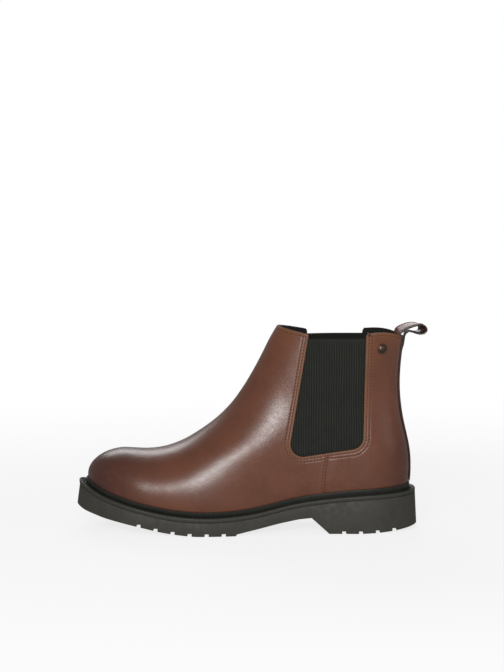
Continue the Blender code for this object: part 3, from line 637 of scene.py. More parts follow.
class Finish:
    """A material whose colour, roughness and bump are built up from procedural layers in object space."""

    def __init__(self, name, colour, roughness, **constants):
        self.material = bpy.data.materials.new(name)
        self.material.use_nodes = True
        self.tree = self.material.node_tree
        self.shader = self.tree.nodes["Principled BSDF"]
        for socket, value in constants.items():
            self.shader.inputs[socket.replace("_", " ")].default_value = value
        self.place = add_node(self.tree, "TexCoord").outputs["Object"]
        self.axes = add_node(self.tree, "SeparateXYZ", {0: self.place}).outputs
        self.colour = add_node(self.tree, "RGB").outputs[0]
        self.colour.default_value = (*colour, 1.0)
        self.roughness = roughness
        self.height = None

    def noise(self, size_mm, detail=3.0, roughness=0.55, stretch=None, distortion=0.0):
        """Noise from 0 to 1 whose blobs are about this size."""
        place = self.place
        if stretch:
            place = add_node(self.tree, "Mapping", {"Vector": place, "Scale": stretch}).outputs[0]
        inputs = {"Vector": place, "Scale": 1000.0 / size_mm, "Detail": detail, "Roughness": roughness,
                  "Distortion": distortion}
        return add_node(self.tree, "TexNoise", inputs).outputs["Fac"]

    def cells(self, size_mm):
        """Distance to the nearest of scattered points about this far apart."""
        inputs = {"Vector": self.place, "Scale": 1000.0 / size_mm}
        return add_node(self.tree, "TexVoronoi", inputs).outputs["Distance"]

    def attribute(self, name):
        return add_node(self.tree, "Attribute", attribute_name=name).outputs["Fac"]

    def span(self, value, low, high):
        """0 to 1 with level ends, as value goes from low to high."""
        inputs = {0: value, 1: low, 2: high}
        return add_node(self.tree, "MapRange", inputs, interpolation_type="SMOOTHSTEP").outputs[0]

    def math(self, operation, a, b=0.0):
        return add_node(self.tree, "Math", {0: a, 1: b}, operation=operation).outputs[0]

    def tint(self, factor, colour, amount=1.0):
        """Mixes a colour in where factor is high."""
        if amount != 1.0:
            factor = self.math("MULTIPLY", factor, amount)
        inputs = {0: factor, 6: self.colour, 7: (*colour, 1.0)}
        self.colour = add_node(self.tree, "Mix", inputs, data_type="RGBA").outputs[2]

    def relief(self, value, depth_mm):
        """Adds value times depth to the bump height."""
        layer = self.math("MULTIPLY", value, depth_mm * MM)
        self.height = layer if self.height is None else self.math("ADD", self.height, layer)

    def vary_roughness(self, noise, low, high):
        """Roughness from low to high, as the noise goes through its middle range."""
        inputs = {0: noise, 1: 0.3, 2: 0.7, 3: low, 4: high}
        self.roughness = add_node(self.tree, "MapRange", inputs).outputs[0]

    def done(self):
        self.tree.links.new(self.colour, self.shader.inputs["Base Color"])
        if isinstance(self.roughness, float):
            self.shader.inputs["Roughness"].default_value = self.roughness
        else:
            self.tree.links.new(self.roughness, self.shader.inputs["Roughness"])
        if self.height is not None:
            bump = add_node(self.tree, "Bump", {"Height": self.height, "Distance": 1.0, "Strength": 1.0})
            self.tree.links.new(bump.outputs[0], self.shader.inputs["Normal"])
        return self.material


BROWN, BURGUNDY = (0.119, 0.0400, 0.0208), (0.027, 0.0075, 0.0066)
TAN, DARK_TAN = (0.156, 0.056, 0.0175), (0.075, 0.0245, 0.0130)
PAINTED_EDGE_AND_SHADE = (0.014, 0.0085, 0.0065)


def leather_finish(name, shade=1.0, zones=True):
    """Grained leather. With zones it is burnished at toe and heel and pale at collar and edges, as the upper
    is;
    the paleness along the edges is partly a painted highlight of the turned fold. Without zones its edges are
    painted dark, as a strap's edge paint is, and its flesh side is painted dark as painted shade."""
    colour = tuple(c * shade for c in BROWN)
    look = Finish(name, colour, 0.4, Specular_IOR_Level=0.55)
    x, z = look.axes[0], look.axes[2]
    if zones:
        toe = look.span(x, -0.068, -0.140)
        look.tint(toe, BURGUNDY, 0.78)
        heel = look.math("MULTIPLY", look.span(x, 0.102, 0.136), look.span(z, 0.105, 0.065))
        look.tint(heel, BURGUNDY, 0.55)
        look.tint(look.span(z, 0.125, 0.172), TAN, 0.2)
        # Paler along the turned edges: partly the leather's tone there, partly a painted highlight of the
        # fold.
        look.tint(look.attribute("edge"), TAN, 0.75)
    else:
        # Edge paint on the strap's rounded edges, and painted shade on its flesh side and on the backstay's
        # underside.
        look.tint(look.attribute("dark_edge"), PAINTED_EDGE_AND_SHADE)
    look.tint(look.span(look.noise(26.0, detail=4.0), 0.35, 0.7), DARK_TAN, 0.4)
    look.tint(look.span(look.noise(5.0, detail=3.0), 0.45, 0.75), TAN, 0.16)
    look.tint(look.span(look.noise(0.8, detail=2.0), 0.42, 0.7), DARK_TAN, 0.22)
    look.relief(look.cells(0.8), 0.035)
    look.relief(look.noise(1.2, detail=4.0, roughness=0.55), 0.05)
    look.relief(look.noise(6.0, detail=2.0, distortion=0.6), 0.07)
    look.vary_roughness(look.noise(3.0, detail=4.0), 0.29, 0.37)
    if zones:
        duller_edge = look.math("MULTIPLY", look.attribute("edge"), 0.22)
        look.roughness = look.math("ADD", look.roughness, duller_edge)
    return look.done()


def elastic_finish():
    """Woven elastic, with a painted highlight that makes the tops of its ribs paler."""
    look = Finish("ribbed_elastic", (0.0108, 0.0118, 0.0096), 0.85, Sheen_Weight=0.05, Sheen_Roughness=0.45,
                  Specular_IOR_Level=0.15)
    # Painted highlight: paler where the rib attribute is high, on the tops of the ribs.
    look.tint(look.span(look.attribute("rib"), 0.1, 0.9), (0.0225, 0.0238, 0.0192))
    weft = look.noise(0.5, detail=1.0, stretch=(0.5, 0.5, 1.4))
    look.tint(look.span(weft, 0.4, 0.65), (0.012, 0.013, 0.011), 0.35)
    look.tint(look.span(look.noise(9.0), 0.35, 0.7), (0.008, 0.009, 0.008), 0.25)
    look.relief(weft, 0.08)
    look.relief(look.noise(0.35, detail=2.0), 0.05)
    look.vary_roughness(look.noise(2.0), 0.74, 0.92)
    return look.done()


def lining_finish():
    """Dark woven textile."""
    look = Finish("black_lining", (0.0085, 0.0085, 0.008), 0.8, Sheen_Weight=0.08, Sheen_Roughness=0.5,
                  Specular_IOR_Level=0.08)
    warp, weft = (look.noise(0.7, stretch=stretch) for stretch in ((1, 1, 0.3), (0.3, 0.3, 1)))
    weave = look.math("MULTIPLY", warp, weft)
    look.tint(look.span(weave, 0.2, 0.32), (0.024, 0.024, 0.022), 0.6)
    look.relief(weave, 0.3)
    look.vary_roughness(look.noise(6.0), 0.7, 0.9)
    return look.done()


def rubber_finish(name, colour, roughness, lip_colour=None):
    """Moulded rubber with faint scuffs; lip_colour is for a welt, whose lip is of the sole's colour."""
    look = Finish(name, colour, roughness, Specular_IOR_Level=0.3)
    if lip_colour:
        look.tint(look.attribute("lip"), lip_colour)
    lighter, darker = tuple(c * 1.7 for c in colour), tuple(c * 0.6 for c in colour)
    look.tint(look.span(look.noise(14.0, detail=4.0), 0.35, 0.7), lighter, 0.22)
    look.tint(look.span(look.noise(1.4, detail=3.0), 0.45, 0.7), darker, 0.35)
    look.relief(look.noise(0.5, detail=3.0), 0.05)
    look.relief(look.noise(4.0, detail=2.0, stretch=(0.3, 0.3, 1.5)), 0.07)
    look.vary_roughness(look.noise(5.0, detail=4.0), roughness - 0.08, roughness + 0.14)
    return look.done()


def thread_finish(name, colour, gloss=0.3):
    """Twisted thread, with its strands as fine relief."""
    look = Finish(name, colour, 0.6, Specular_IOR_Level=gloss)
    look.tint(look.span(look.noise(0.4, detail=1.0), 0.4, 0.6), tuple(c * 1.8 for c in colour), 0.5)
    look.relief(look.noise(0.3, detail=1.0, stretch=(1.0, 0.4, 1.0)), 0.05)
    return look.done()


def metal_finish(name, colour, roughness, patina):
    """Metal with a mottled patina."""
    look = Finish(name, colour, roughness, Metallic=1.0)
    look.tint(look.span(look.noise(1.6, detail=4.0), 0.4, 0.7), patina, 0.5)
    look.relief(look.noise(0.6, detail=3.0), 0.02)
    look.vary_roughness(look.noise(0.9, detail=4.0), roughness - 0.06, roughness + 0.12)
    return look.done()


def board_finish(name, colour, dark, size_mm, relief_mm):
    """Fibreboard, cork or foam: mottled grains of one size."""
    look = Finish(name, colour, 0.9, Specular_IOR_Level=0.25)
    look.tint(look.span(look.cells(size_mm), 0.25, 0.6), dark, 0.7)
    look.tint(look.span(look.noise(size_mm * 6), 0.4, 0.7), dark, 0.35)
    look.relief(look.cells(size_mm), relief_mm)
    look.relief(look.noise(size_mm * 0.6), relief_mm / 2)
    return look.done()


SOLE_COLOUR = (0.034, 0.0322, 0.0262)
MATERIALS = {
    "leather": leather_finish("brown_leather"),
    "strap": leather_finish("strap_leather", shade=0.8, zones=False),
    "elastic": elastic_finish(),
    "lining": lining_finish(),
    "welt": rubber_finish("welt_rubber", (0.0150, 0.0155, 0.0128), 0.5, lip_colour=SOLE_COLOUR),
    "sole": rubber_finish("sole_rubber", SOLE_COLOUR, 0.6),
    "thread": thread_finish("tan_thread", (0.130, 0.051, 0.023)),
    "grey_thread": thread_finish("grey_thread", (0.021, 0.021, 0.018)),
    # Near-black finish of the puncture marks: painted shade, not the leather's own colour.
    "prick_shade": thread_finish("needle_prick_shade", (0.022, 0.009, 0.006), gloss=0.0),
    "bronze": metal_finish("dark_bronze", (0.150, 0.100, 0.075), 0.44, (0.075, 0.048, 0.036)),
    "steel": metal_finish("spring_steel", (0.42, 0.42, 0.43), 0.3, (0.25, 0.25, 0.27)),
    "fibreboard": board_finish("fibreboard", (0.42, 0.29, 0.16), (0.26, 0.17, 0.09), 0.9, 0.08),
    "cork": board_finish("cork_filler", (0.40, 0.24, 0.12), (0.16, 0.08, 0.04), 1.8, 0.2),
    "foam": board_finish("dark_foam", (0.045, 0.045, 0.045), (0.018, 0.018, 0.018), 0.7, 0.12),
}


# ---------------------------------------------------------------- the upper


SIDES = (LATERAL, MEDIAL)
SIDE_NAMES = {LATERAL: "lateral", MEDIAL: "medial"}
TOP_LINE_SHARES = np.sin(np.linspace(0, math.pi / 2, 200))


def finish_piece(piece, slot, *nodes):
    """Says that a piece rides on the boot, and hides the CAD nodes that it stands for. slot is not used."""
    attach(piece, "boot")
    if nodes:
        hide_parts(*nodes)


def outline(gore_edge, top, side):
    """Edges of a panel that show: along the opening, along the top line, and down the side seam."""
    seam = np.linspace(gore_edge[0], (SEAM_FOOT_X, float(feather(SEAM_FOOT_X))), 60)
    return {"gore": lift(gore_edge, side), "top": lift(top, side), "seam": lift(seam, side)}


def vamp_outline(side):
    front_edge, _ = split_at_seam()
    top = GORE_TOP_FRONT + np.subtract(VAMP_TOP, GORE_TOP_FRONT) * TOP_LINE_SHARES[:, None]
    return outline(front_edge, top, side)


def quarter_outline(side):
    _, rear_edge = split_at_seam()
    x = GORE_TOP_REAR[0] + (BACK_TOP_X - GORE_TOP_REAR[0]) * TOP_LINE_SHARES
    x = np.minimum(x, back_line(rear_top(x)) - 1e-6)
    return outline(rear_edge, np.stack([x, rear_top(x)], axis=1), side)


def vamp_rows(side):
    """The vamp's rows of stitches on one side: two along the opening, the top line and the side seam."""
    first, second = (split_at_seam(grow=row, top=-EDGE_ROW)[0] for row in (EDGE_ROW, SECOND_ROW))
    seam_x = SEAM_TOP_X - SEAM_ROW
    beside_gore = [row[row[:, 0] < seam_x - 1.0] for row in (first, second)]
    top = first[-1] + (np.subtract(VAMP_TOP, (0.0, EDGE_ROW)) - first[-1]) * TOP_LINE_SHARES[:, None]
    seam_top = (seam_x, first[0, 1] + 1.0)
    seam_foot = (SEAM_FOOT_X - SEAM_ROW, float(rand_top(SEAM_FOOT_X)) - 1.0)
    return [lift(row, side) for row in (*beside_gore, top, np.linspace(seam_top, seam_foot, 80))]


def quarter_rows(side):
    """A quarter's rows of stitches: two along the opening, and the top line as far as the backstay."""
    first, second = (split_at_seam(grow=row, top=-EDGE_ROW)[1] for row in (EDGE_ROW, SECOND_ROW))
    beside_gore = [row[row[:, 0] > SEAM_TOP_X + 0.8] for row in (first, second)]
    x = np.linspace(first[-1, 0], TOP_ROW_END_X, 120)
    return [lift(row, side) for row in (*beside_gore, np.stack([x, rear_top(x) - EDGE_ROW], axis=1))]


def dips(surface, rows):
    """Depth that the stitches pull into the leather."""
    return STITCH_DIP * np.exp(-((surface.distance(*rows) / STITCH_DIP_WIDTH) ** 2))


def sway(surface, to_edge, *waves):
    """The leather's gentle unevenness: ripples of (height, wavelength, seed) that fade out at its edges."""
    ripples = [height * ripple(surface.points, wavelength, seed) for height, wavelength, seed in waves]
    return sum(ripples) * ease(to_edge / FLAT_BORDER)


def make_vamp(stitching):
    """The vamp, a turned-edge panel of both sides in one, skived thin where it lies over the quarters."""
    vamp = Surface([patch for side in SIDES for patch in vamp_patches(side, FINE_STEPS, LEATHER_CORNER)])
    outlines = [vamp_outline(side) for side in SIDES]
    rows = [row for side in SIDES for row in vamp_rows(side)]
    to_edge = vamp.distance(*[edge for edges in outlines for edge in edges.values()])
    to_seam = vamp.distance(*[edges["seam"] for edges in outlines])
    outer = rim(to_edge) + dips(vamp, rows) + sway(vamp, to_edge, (0.22, 34.0, 1.0), (0.07, 11.0, 5.0))
    thickness = SKIVED_THICKNESS + (LEATHER_THICKNESS - SKIVED_THICKNESS) * ease(to_seam / 7.0)
    inner = np.maximum(thickness, outer + LEAST_SKIN)
    # Paler band along the edges, partly a painted highlight of the turned fold.
    band = np.exp(-((to_edge / EDGE_TONE_AND_HIGHLIGHT_BAND) ** 2)) * ease((to_seam - 1.0) / 4.0)
    piece, tree = vamp.shell("vamp_leather", outer, inner, "leather", edge=(band, band))
    finish_piece(piece, "leather", "vamp")
    for row in rows:
        stitching.sew(row, tree)


def make_quarter(side, stitching):
    """A quarter, which dips under the vamp along the side seam."""
    quarter = Surface(quarter_patches(side, FINE_STEPS, LEATHER_CORNER, tuck=1.6))
    quarter.steady_back()
    edges, rows = quarter_outline(side), quarter_rows(side)
    x, _, z = quarter.points.T
    to_edge = quarter.distance(edges["gore"], edges["top"])
    behind_seam = x - np.interp(z, [30.0, 66.0], [SEAM_FOOT_X, SEAM_TOP_X])
    under_vamp = (1.0 - ease((behind_seam - 0.5) / 6.0)) * ease((72.0 - z) / 6.0)
    uneven = sway(quarter, to_edge, (0.2, 30.0, 9.0 + side), (0.06, 10.0, 3.0))
    outer = rim(to_edge) + dips(quarter, rows) + 0.85 * under_vamp + uneven * (1 - under_vamp)
    inner = np.maximum(LEATHER_THICKNESS, outer + LEAST_SKIN)
    # Paler band along the edges, partly a painted highlight of the turned fold.
    band = np.exp(-((to_edge / EDGE_TONE_AND_HIGHLIGHT_BAND) ** 2)) * (1 - under_vamp)
    name = SIDE_NAMES[side] + "_quarter"
    piece, tree = quarter.shell(f"{name}_leather", outer, inner, "leather", edge=(band, band))
    finish_piece(piece, "leather", name)
    for row in rows:
        stitching.sew(row, tree)


def gore_span(x):
    """Lowest and highest place of the elastic at each x of the side view."""
    edge = evenly(gore_outline(GORE_SEAM_ALLOWANCE, -GORE_TOP_DROP), 3000)
    foremost, rearmost = int(np.argmin(edge[:, 0])), int(np.argmax(edge[:, 0]))
    front, bottom = edge[foremost::-1], edge[foremost : rearmost + 1]
    top_z = GORE_TOP_FRONT[1] - GORE_TOP_DROP
    high = np.minimum(np.interp(x, front[:, 0], front[:, 1]), top_z)
    return np.interp(x, bottom[:, 0], bottom[:, 1]), high


def make_gore(side):
    """An elastic panel: vertical ribs below a smooth band, the top edge folded over."""
    x = np.arange(GORE_LOW_FRONT[0] - 3.4, GORE_LOW_REAR[0] + 4.6, RIB_PITCH / 8)
    low, high = gore_span(x)
    tall = high - low > 0.5
    drops = np.array([0, 0.1, 0.25, 0.45, 0.7, 1.1, 1.7, 2.3, 2.7, 3.0, 3.3, 3.6, 4.2, 5.5, 8.0])
    columns = []
    for at, bottom, top in zip(x[tall], low[tall], high[tall]):
        reach = min(1.0, 0.5 * (top - bottom) / drops[-1])
        z = np.concatenate([top - drops * reach, np.linspace(top - drops[-1] * reach, bottom, 46)[1:]])
        columns.append(lift(np.stack([np.full_like(z, at), z], axis=1), side))
    surface = Surface([np.array(columns)])
    drop = GORE_TOP_FRONT[1] - GORE_TOP_DROP - surface.points[:, 2]
    below_band = ease((drop - TOP_BAND) / 0.7)
    waves = 0.5 + 0.5 * np.cos(2 * math.pi * surface.points[:, 0] / RIB_PITCH)
    ribs = RIB_HEIGHT * waves**0.8 * below_band
    fold = 0.45 * np.exp(-((drop / 0.5) ** 2)) - 0.16 * (1 - ease((drop - TOP_BAND + 0.3) / 0.4))
    outer = ELASTIC_DEPTH + 0.3 - ribs + fold
    inner = ELASTIC_DEPTH + ELASTIC_THICKNESS + 0.15 * ribs - fold
    # Painted highlight on the tops of the ribs, a middle value on the smooth top band, a low one on the inner
    # face.
    painted_rib_highlight = waves * below_band + 0.55 * (1 - below_band)
    name = SIDE_NAMES[side] + "_gore"
    piece, _ = surface.shell(f"{name}_elastic", outer, inner, "elastic", rib=(painted_rib_highlight, 0.1))
    finish_piece(piece, "elastic", name)


def make_lining(name, surface, panel_outline):
    """A lining, close behind the leather at the top line and deeper below, its top edge rolled over."""
    to_top = surface.distance(*[panel_outline(side)["top"] for side in SIDES])
    depth = LINING_TOP_DEPTH + (LINING_DEPTH - LINING_TOP_DEPTH) * ease(to_top / 9.0)
    roll = 0.4 * rim(to_top, 0.9) / 0.9
    piece, _ = surface.shell(f"{name}_fabric", depth, depth + LINING_THICKNESS - roll, "lining")
    finish_piece(piece, "lining", name)


def make_linings():
    front, rear = (
        Surface([grid for side in SIDES for grid in patches(side, LINING_STEPS, LINING_CORNER, density=0.6)])
        for patches in (vamp_patches, quarter_patches)
    )
    rear.steady_back()
    make_lining("vamp_lining", front, vamp_outline)
    make_lining("quarter_lining", rear, quarter_outline)


def make_backstay(stitching):
    """The strip over the back seam, thicker at its top where the pull tab's end is sewn under it."""
    across = graded(BACKSTAY_WIDTH / 2, 4, FINE_STEPS[:12], fine_end=True)
    heights = np.concatenate([
        np.linspace(float(rand_top(138.0)) + 1.6, TOP_OF_BACK - 6.5, 70),
        TOP_OF_BACK - 0.3 - FINE_STEPS[:20:2][::-1],
    ])
    rows = []
    for z in heights:
        x = back_line(z) - 14.0 * np.linspace(0, 1, 300) ** 2
        flat = np.stack([x, np.full_like(x, z)], axis=1)
        medial, lateral = (along(lift(flat, side), across) for side in (MEDIAL, LATERAL))
        rows.append(np.concatenate([medial[::-1], lateral[1:]]))
    surface = Surface([np.array(rows)])
    medial_edge, lateral_edge = (np.array([row[end] for row in rows]) for end in (0, -1))
    to_edge = surface.distance(medial_edge, lateral_edge, rows[-1])
    seams = [np.array([along(row[::step], [BACKSTAY_ROW])[0] for row in rows]) for step in (1, -1)]
    thick = 1.2 + 0.9 * ease((surface.points[:, 2] - 156.0) / 8.0)
    height = 0.3 + thick * np.sqrt(1 - (1 - np.clip(to_edge / 1.1, 0, 1)) ** 2)
    groove = 0.18 * np.exp(-((surface.distance(*seams) / 0.5) ** 2))
    # Dark along the strip's edges, as edge paint; its underside against the quarters gets 1, painted shade.
    dark = 1.0 - ease((to_edge - 0.5) / 1.2)
    piece, tree = surface.shell("backstay_leather", groove - height, -0.25, "strap", dark_edge=(dark, 1.0))
    finish_piece(piece, "leather", "backstay")
    for seam in seams:
        stitching.sew(seam[seam[:, 2] < BACKSTAY_SEWN_TO_Z], tree, radius=0.26)


def make_stud():
    """A plain turned stud: a low dome with a rolled rim."""
    spots = [(STUD_X, STUD_Z), (STUD_X + 1, STUD_Z), (STUD_X, STUD_Z + 1)]
    here, ahead, above = lift(np.array(spots), LATERAL)
    outward = Vector(np.cross(ahead - here, above - here)).normalized()
    profile = [(1.0, 0.0), (1.0, 0.18), (0.985, 0.33), (0.94, 0.44), (0.88, 0.47), (0.82, 0.43), (0.78, 0.36),
               (0.74, 0.36), (0.70, 0.45), (0.62, 0.62), (0.5, 0.78), (0.36, 0.90), (0.2, 0.97), (0.06, 1.0)]
    segments = 64
    turns = np.linspace(0, 2 * math.pi, segments, endpoint=False)
    rings = [(r * math.cos(turn), r * math.sin(turn), up) for r, up in profile for turn in turns]
    facing = np.array(outward.to_track_quat("Z", "Y").to_matrix())
    points = (np.array(rings) * (STUD_RADIUS, STUD_RADIUS, STUD_HEIGHT + 0.3)) @ facing.T + here
    stud = add_object("stud_cap", points, tube_faces(len(profile), segments), "bronze", weld=0.01)
    finish_piece(stud, "bronze", "stud")


# Pull tab: the strap's near and far edges, from inside the collar over the loop to the outside of the back,
# as (x, z) from the hinge line. The loop is a little twisted, so its two edges differ.
TAB_NEAR_EDGE = [
    (1.5, -12.0), (1.9, -6.0), (3.0, -1.8), (6.0, 1.1), (9.8, 3.3), (14.2, 5.0), (18.6, 6.3), (22.2, 6.9),
    (25.6, 5.1), (26.8, 2.2), (25.2, -0.3), (22.0, -1.2), (18.2, -0.5), (14.4, 0.9), (10.6, 1.1), (8.0, -1.2),
    (7.0, -4.6),
]
TAB_FAR_EDGE = [
    (1.3, -12.0), (0.6, -6.0), (-0.9, -1.0), (0.0, 2.7), (3.6, 5.2), (8.0, 6.9), (12.6, 7.7), (16.4, 7.1),
    (19.3, 5.5), (20.2, 3.1), (19.0, 0.9), (16.0, 0.0), (13.2, 0.2), (11.0, 0.8), (8.9, 0.5), (7.4, -1.8),
    (7.0, -4.8),
]
TAB_ROW, TAB_GROOVE = 0.76, 0.12  # stitch rows, as a share of the half width, and the depth of their grooves
TAB_SKIVED_STEPS, TAB_END_SHARE = 14, 0.35  # how far from its ends the strap is thinned, and to what share


def strap_section():
    """The strap's outline across, grain side up: (share of the half width, height, step outwards)."""
    half = TAB_THICKNESS / 2
    shares = [0.86, 0.82, 0.79, TAB_ROW, 0.73, 0.70, 0.6, 0.3, 0.0]
    shares += [-share for share in shares[-2::-1]]
    turn = np.radians(np.linspace(-90, 90, 7))
    near_edge = [(1.0, math.sin(a) * half, (math.cos(a) - 1.0) * half) for a in turn]
    far_edge = [(-1.0, up, -out) for _, up, out in near_edge[::-1]]
    grain = [(share, half - TAB_GROOVE * (abs(share) == TAB_ROW), 0.0) for share in shares]
    flesh = [(share, -half, 0.0) for share in shares[::-1]]
    return near_edge + grain + far_edge + flesh


def unit(vectors):
    return vectors / np.linalg.norm(vectors, axis=1)[:, None]


def make_pull_tab():
    """A leather strap folded into a loop, grain side out, sewn into the collar inside and out."""
    hinge = np.array([TAB_HINGE_X, 0.0, TAB_HINGE_Z])
    near, far = (catmull([(x, y, z) for x, z in edge], 8) + hinge
                 for edge, y in ((TAB_NEAR_EDGE, -TAB_WIDTH / 2), (TAB_FAR_EDGE, TAB_WIDTH / 2)))
    centre = (near + far) / 2
    ahead, across = unit(np.gradient(centre, axis=0)), unit(far - near)
    outward = unit(np.cross(ahead, across))
    half, section = TAB_THICKNESS / 2, strap_section()
    from_end = np.minimum(np.arange(len(centre)), np.arange(len(centre))[::-1]) / TAB_SKIVED_STEPS
    skived = TAB_END_SHARE + (1.0 - TAB_END_SHARE) * ease(from_end)
    reach = np.linalg.norm(far - near, axis=1) / 2
    points = np.concatenate([
        [centre[i] + across[i] * (share * reach[i] + out) + outward[i] * up * skived[i]
         for share, up, out in section]
        for i in range(len(centre))
    ])
    faces = tube_faces(len(centre), len(section))
    strap = add_object("pull_tab_strap", points, faces, "strap")
    # 1 on the rounded edges, which is edge paint, and on the flesh side inside the loop, which is painted
    # shade; 0 on the grain side.
    dark = [0.0 if up > half / 2 and abs(share) < 1.0 else 1.0 for share, up, _ in section]
    set_attribute(strap, "dark_edge", np.tile(dark, len(centre)))
    tree, stitching = BVHTree.FromPolygons(points.tolist(), faces), Stitching()
    for row in (TAB_ROW, -TAB_ROW):
        path = centre + across * row * TAB_WIDTH / 2 + outward * half
        stitching.sew(path[10:-10], tree, pitch=2.6, length=1.8, radius=0.3)
    stitches = stitching.threads.make("pull_tab_thread", "thread")
    needle_prick_shades = stitching.prick_shades.make("pull_tab_needle_prick_shades", "prick_shade")
    for piece in (strap, stitches, needle_prick_shades):
        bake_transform(piece)
    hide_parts("pull_tab")


# ---------------------------------------------------------------- the bottom


def plan_loop(count, outset, level=0.0):
    """A closed loop of plan points (x, y) round the upper, level above its feather edge, moved outwards."""
    end = HEEL_X
    for _ in range(4):
        end = float(back_line(feather(end) + level))
    x = (TOE_X + end) / 2 - (end - TOE_X) / 2 * np.cos(np.linspace(0, math.pi, 600))
    lateral, medial = (
        np.stack([x, centre_line(x) + side * half_width(x, feather(x) + level, side)], axis=1)
        for side in (LATERAL, MEDIAL)
    )
    loop = evenly(np.concatenate([lateral, medial[-2::-1]]), count + 1)[:-1]
    tangent = np.roll(loop, -1, axis=0) - np.roll(loop, 1, axis=0)
    outward = np.stack([tangent[:, 1], -tangent[:, 0]], axis=1) / np.linalg.norm(tangent, axis=1)[:, None]
    amount = outset(loop[:, 0]) if callable(outset) else outset
    return loop + outward * np.reshape(amount, (-1, 1))


def tube(name, rings, material=None):
    """A solid from rings of points, each closed on itself, with caps on its two ends."""
    faces = tube_faces(len(rings), len(rings[0]))
    return add_object(name, np.concatenate(rings), faces, material, weld=0.02)


# The welt's section, as (step outwards, height above the feather edge). The upstand's steps are from the
# leather and the lip's are from its outermost edge.
WELT_UPSTAND = [
    (0.15, RAND_HEIGHT - 0.5), (0.2, RAND_HEIGHT), (0.45, RAND_HEIGHT + 0.3), (0.8, RAND_HEIGHT + 0.32),
    (1.15, RAND_HEIGHT + 0.1), (1.35, RAND_HEIGHT - 0.5), (1.6, 3.6), (1.75, 2.6), (1.8, 1.9), (1.85, 1.0),
    (1.95, 0.1), (2.2, -0.6), (2.7, -0.8), (3.1, -0.5), (3.4, 0.05),
]
WELT_LIP = [
    (-2.9, 0.32), (-2.2, 0.38), (-1.5, 0.36), (-0.85, 0.24), (-0.35, -0.02), (-0.08, -0.4), (0.0, -0.85),
    (-0.02, -2.5), (-0.1, -2.85), (-0.35, -3.1), (-0.8, -3.2), (-0.8, -LIP_THICKNESS),
]
WELT_UNDERSIDE = [(-WELT_FLANGE, -LIP_THICKNESS), (-WELT_FLANGE, 0.0), (-0.6, 0.0), (0.1, 0.8), (0.15, 3.0)]
WELT_TOP_RINGS = 3  # of the lip, which are still of the welt's own colour


def make_welt(stitching):
    """A storm welt: upstand against the leather, sewn groove, and rounded lip that overhangs the sole."""
    count = 420
    section = [(outset, up, up) for outset, up in WELT_UPSTAND]
    section += [(lambda x, step=step: lip_outset(x) + step, up, 0.0) for step, up in WELT_LIP]
    section += [(outset, up, max(up, 0.0)) for outset, up in WELT_UNDERSIDE]
    rings = []
    for outset, up, level in section:
        plan = plan_loop(count, outset, level)
        rings.append(np.column_stack([plan, feather(plan[:, 0]) + up]))
    points, faces = np.concatenate(rings), grid_faces(len(rings), count, around=True, end_to_end=True)
    welt = add_object("welt_rand", points, faces, "welt")
    lip_start, lip_end = len(WELT_UPSTAND) + WELT_TOP_RINGS, len(WELT_UPSTAND) + len(WELT_LIP)
    lip = np.zeros(len(rings))
    lip[lip_start:lip_end] = 1.0
    lip[lip_start] = 0.5
    set_attribute(welt, "lip", np.repeat(lip, count))
    finish_piece(welt, "welt_rubber", "welt")
    plan = plan_loop(900, lambda x: lip_outset(x) - 2.0)
    path = np.column_stack([plan, feather(plan[:, 0]) + 0.4])
    forepart = np.roll(path, -int(np.argmax(path[:, 0])), axis=0)
    forepart = forepart[forepart[:, 0] < WELT_SEWN_TO_X]
    tree = BVHTree.FromPolygons(points.tolist(), faces)
    stitching.sew(forepart, tree, pitch=4.0, length=2.7, radius=0.55, lean=0.05)


def sole_underside():
    """The outsole's underside in the side view, toe to heel."""
    tread = spline([(-170, 30.0), (-153, 20.0), (-145, 17.2), (-137, 15.3), (-130, 13.5), (-122, 11.9),
                    (-108, 9.2), (-94, 6.5), (-80, 3.6), (-70, 2.1), (-58, 0.8), (-50, 0.15), (-44, 0.0)])
    x = np.linspace(-164, -44, 60)
    forepart = np.stack([x, np.maximum(tread(x), 0.0)], axis=1)
    waist = [(FOREPART_END_X, 0.0), (FOREPART_END_X + 1.0, 1.6), (5.0, 5.4), (24.0, 9.8), (41.0, 13.0)]
    heel = [(95.0, 0.0), (110.0, 0.7), (125.0, 2.0), (138.0, 3.6), (164.0, 7.2)]
    return np.concatenate([forepart, waist, [HEEL_BREAST_TOP, HEEL_BREAST_FOOT], heel])


def cut(obj, helper, operation):
    """Cuts an object with a helper mesh, and removes the helper."""
    change = obj.modifiers.new(operation.lower(), "BOOLEAN")
    change.operation = operation
    change.object = helper
    change.solver = "EXACT"
    bake_modifiers(obj)
    bpy.data.objects.remove(helper)


def bake_modifiers(obj):
    """Replaces an object's mesh by what its modifiers make of it."""
    bpy.context.view_layer.update()
    final = bpy.data.meshes.new_from_object(obj.evaluated_get(bpy.context.evaluated_depsgraph_get()))
    obj.modifiers.clear()
    obj.data = final


def box_helper(boxes):
    """One mesh of separate boxes, given as (centre, size) in millimetres."""
    work = bmesh.new()
    for centre, size in boxes:
        place = Matrix.Translation(Vector(centre) * MM) @ Matrix.Diagonal((*(Vector(size) * MM), 1.0))
        bmesh.ops.create_cube(work, size=1.0, matrix=place)
    mesh = bpy.data.meshes.new("cutters")
    work.to_mesh(mesh)
    work.free()
    return new_object("cutters", mesh)


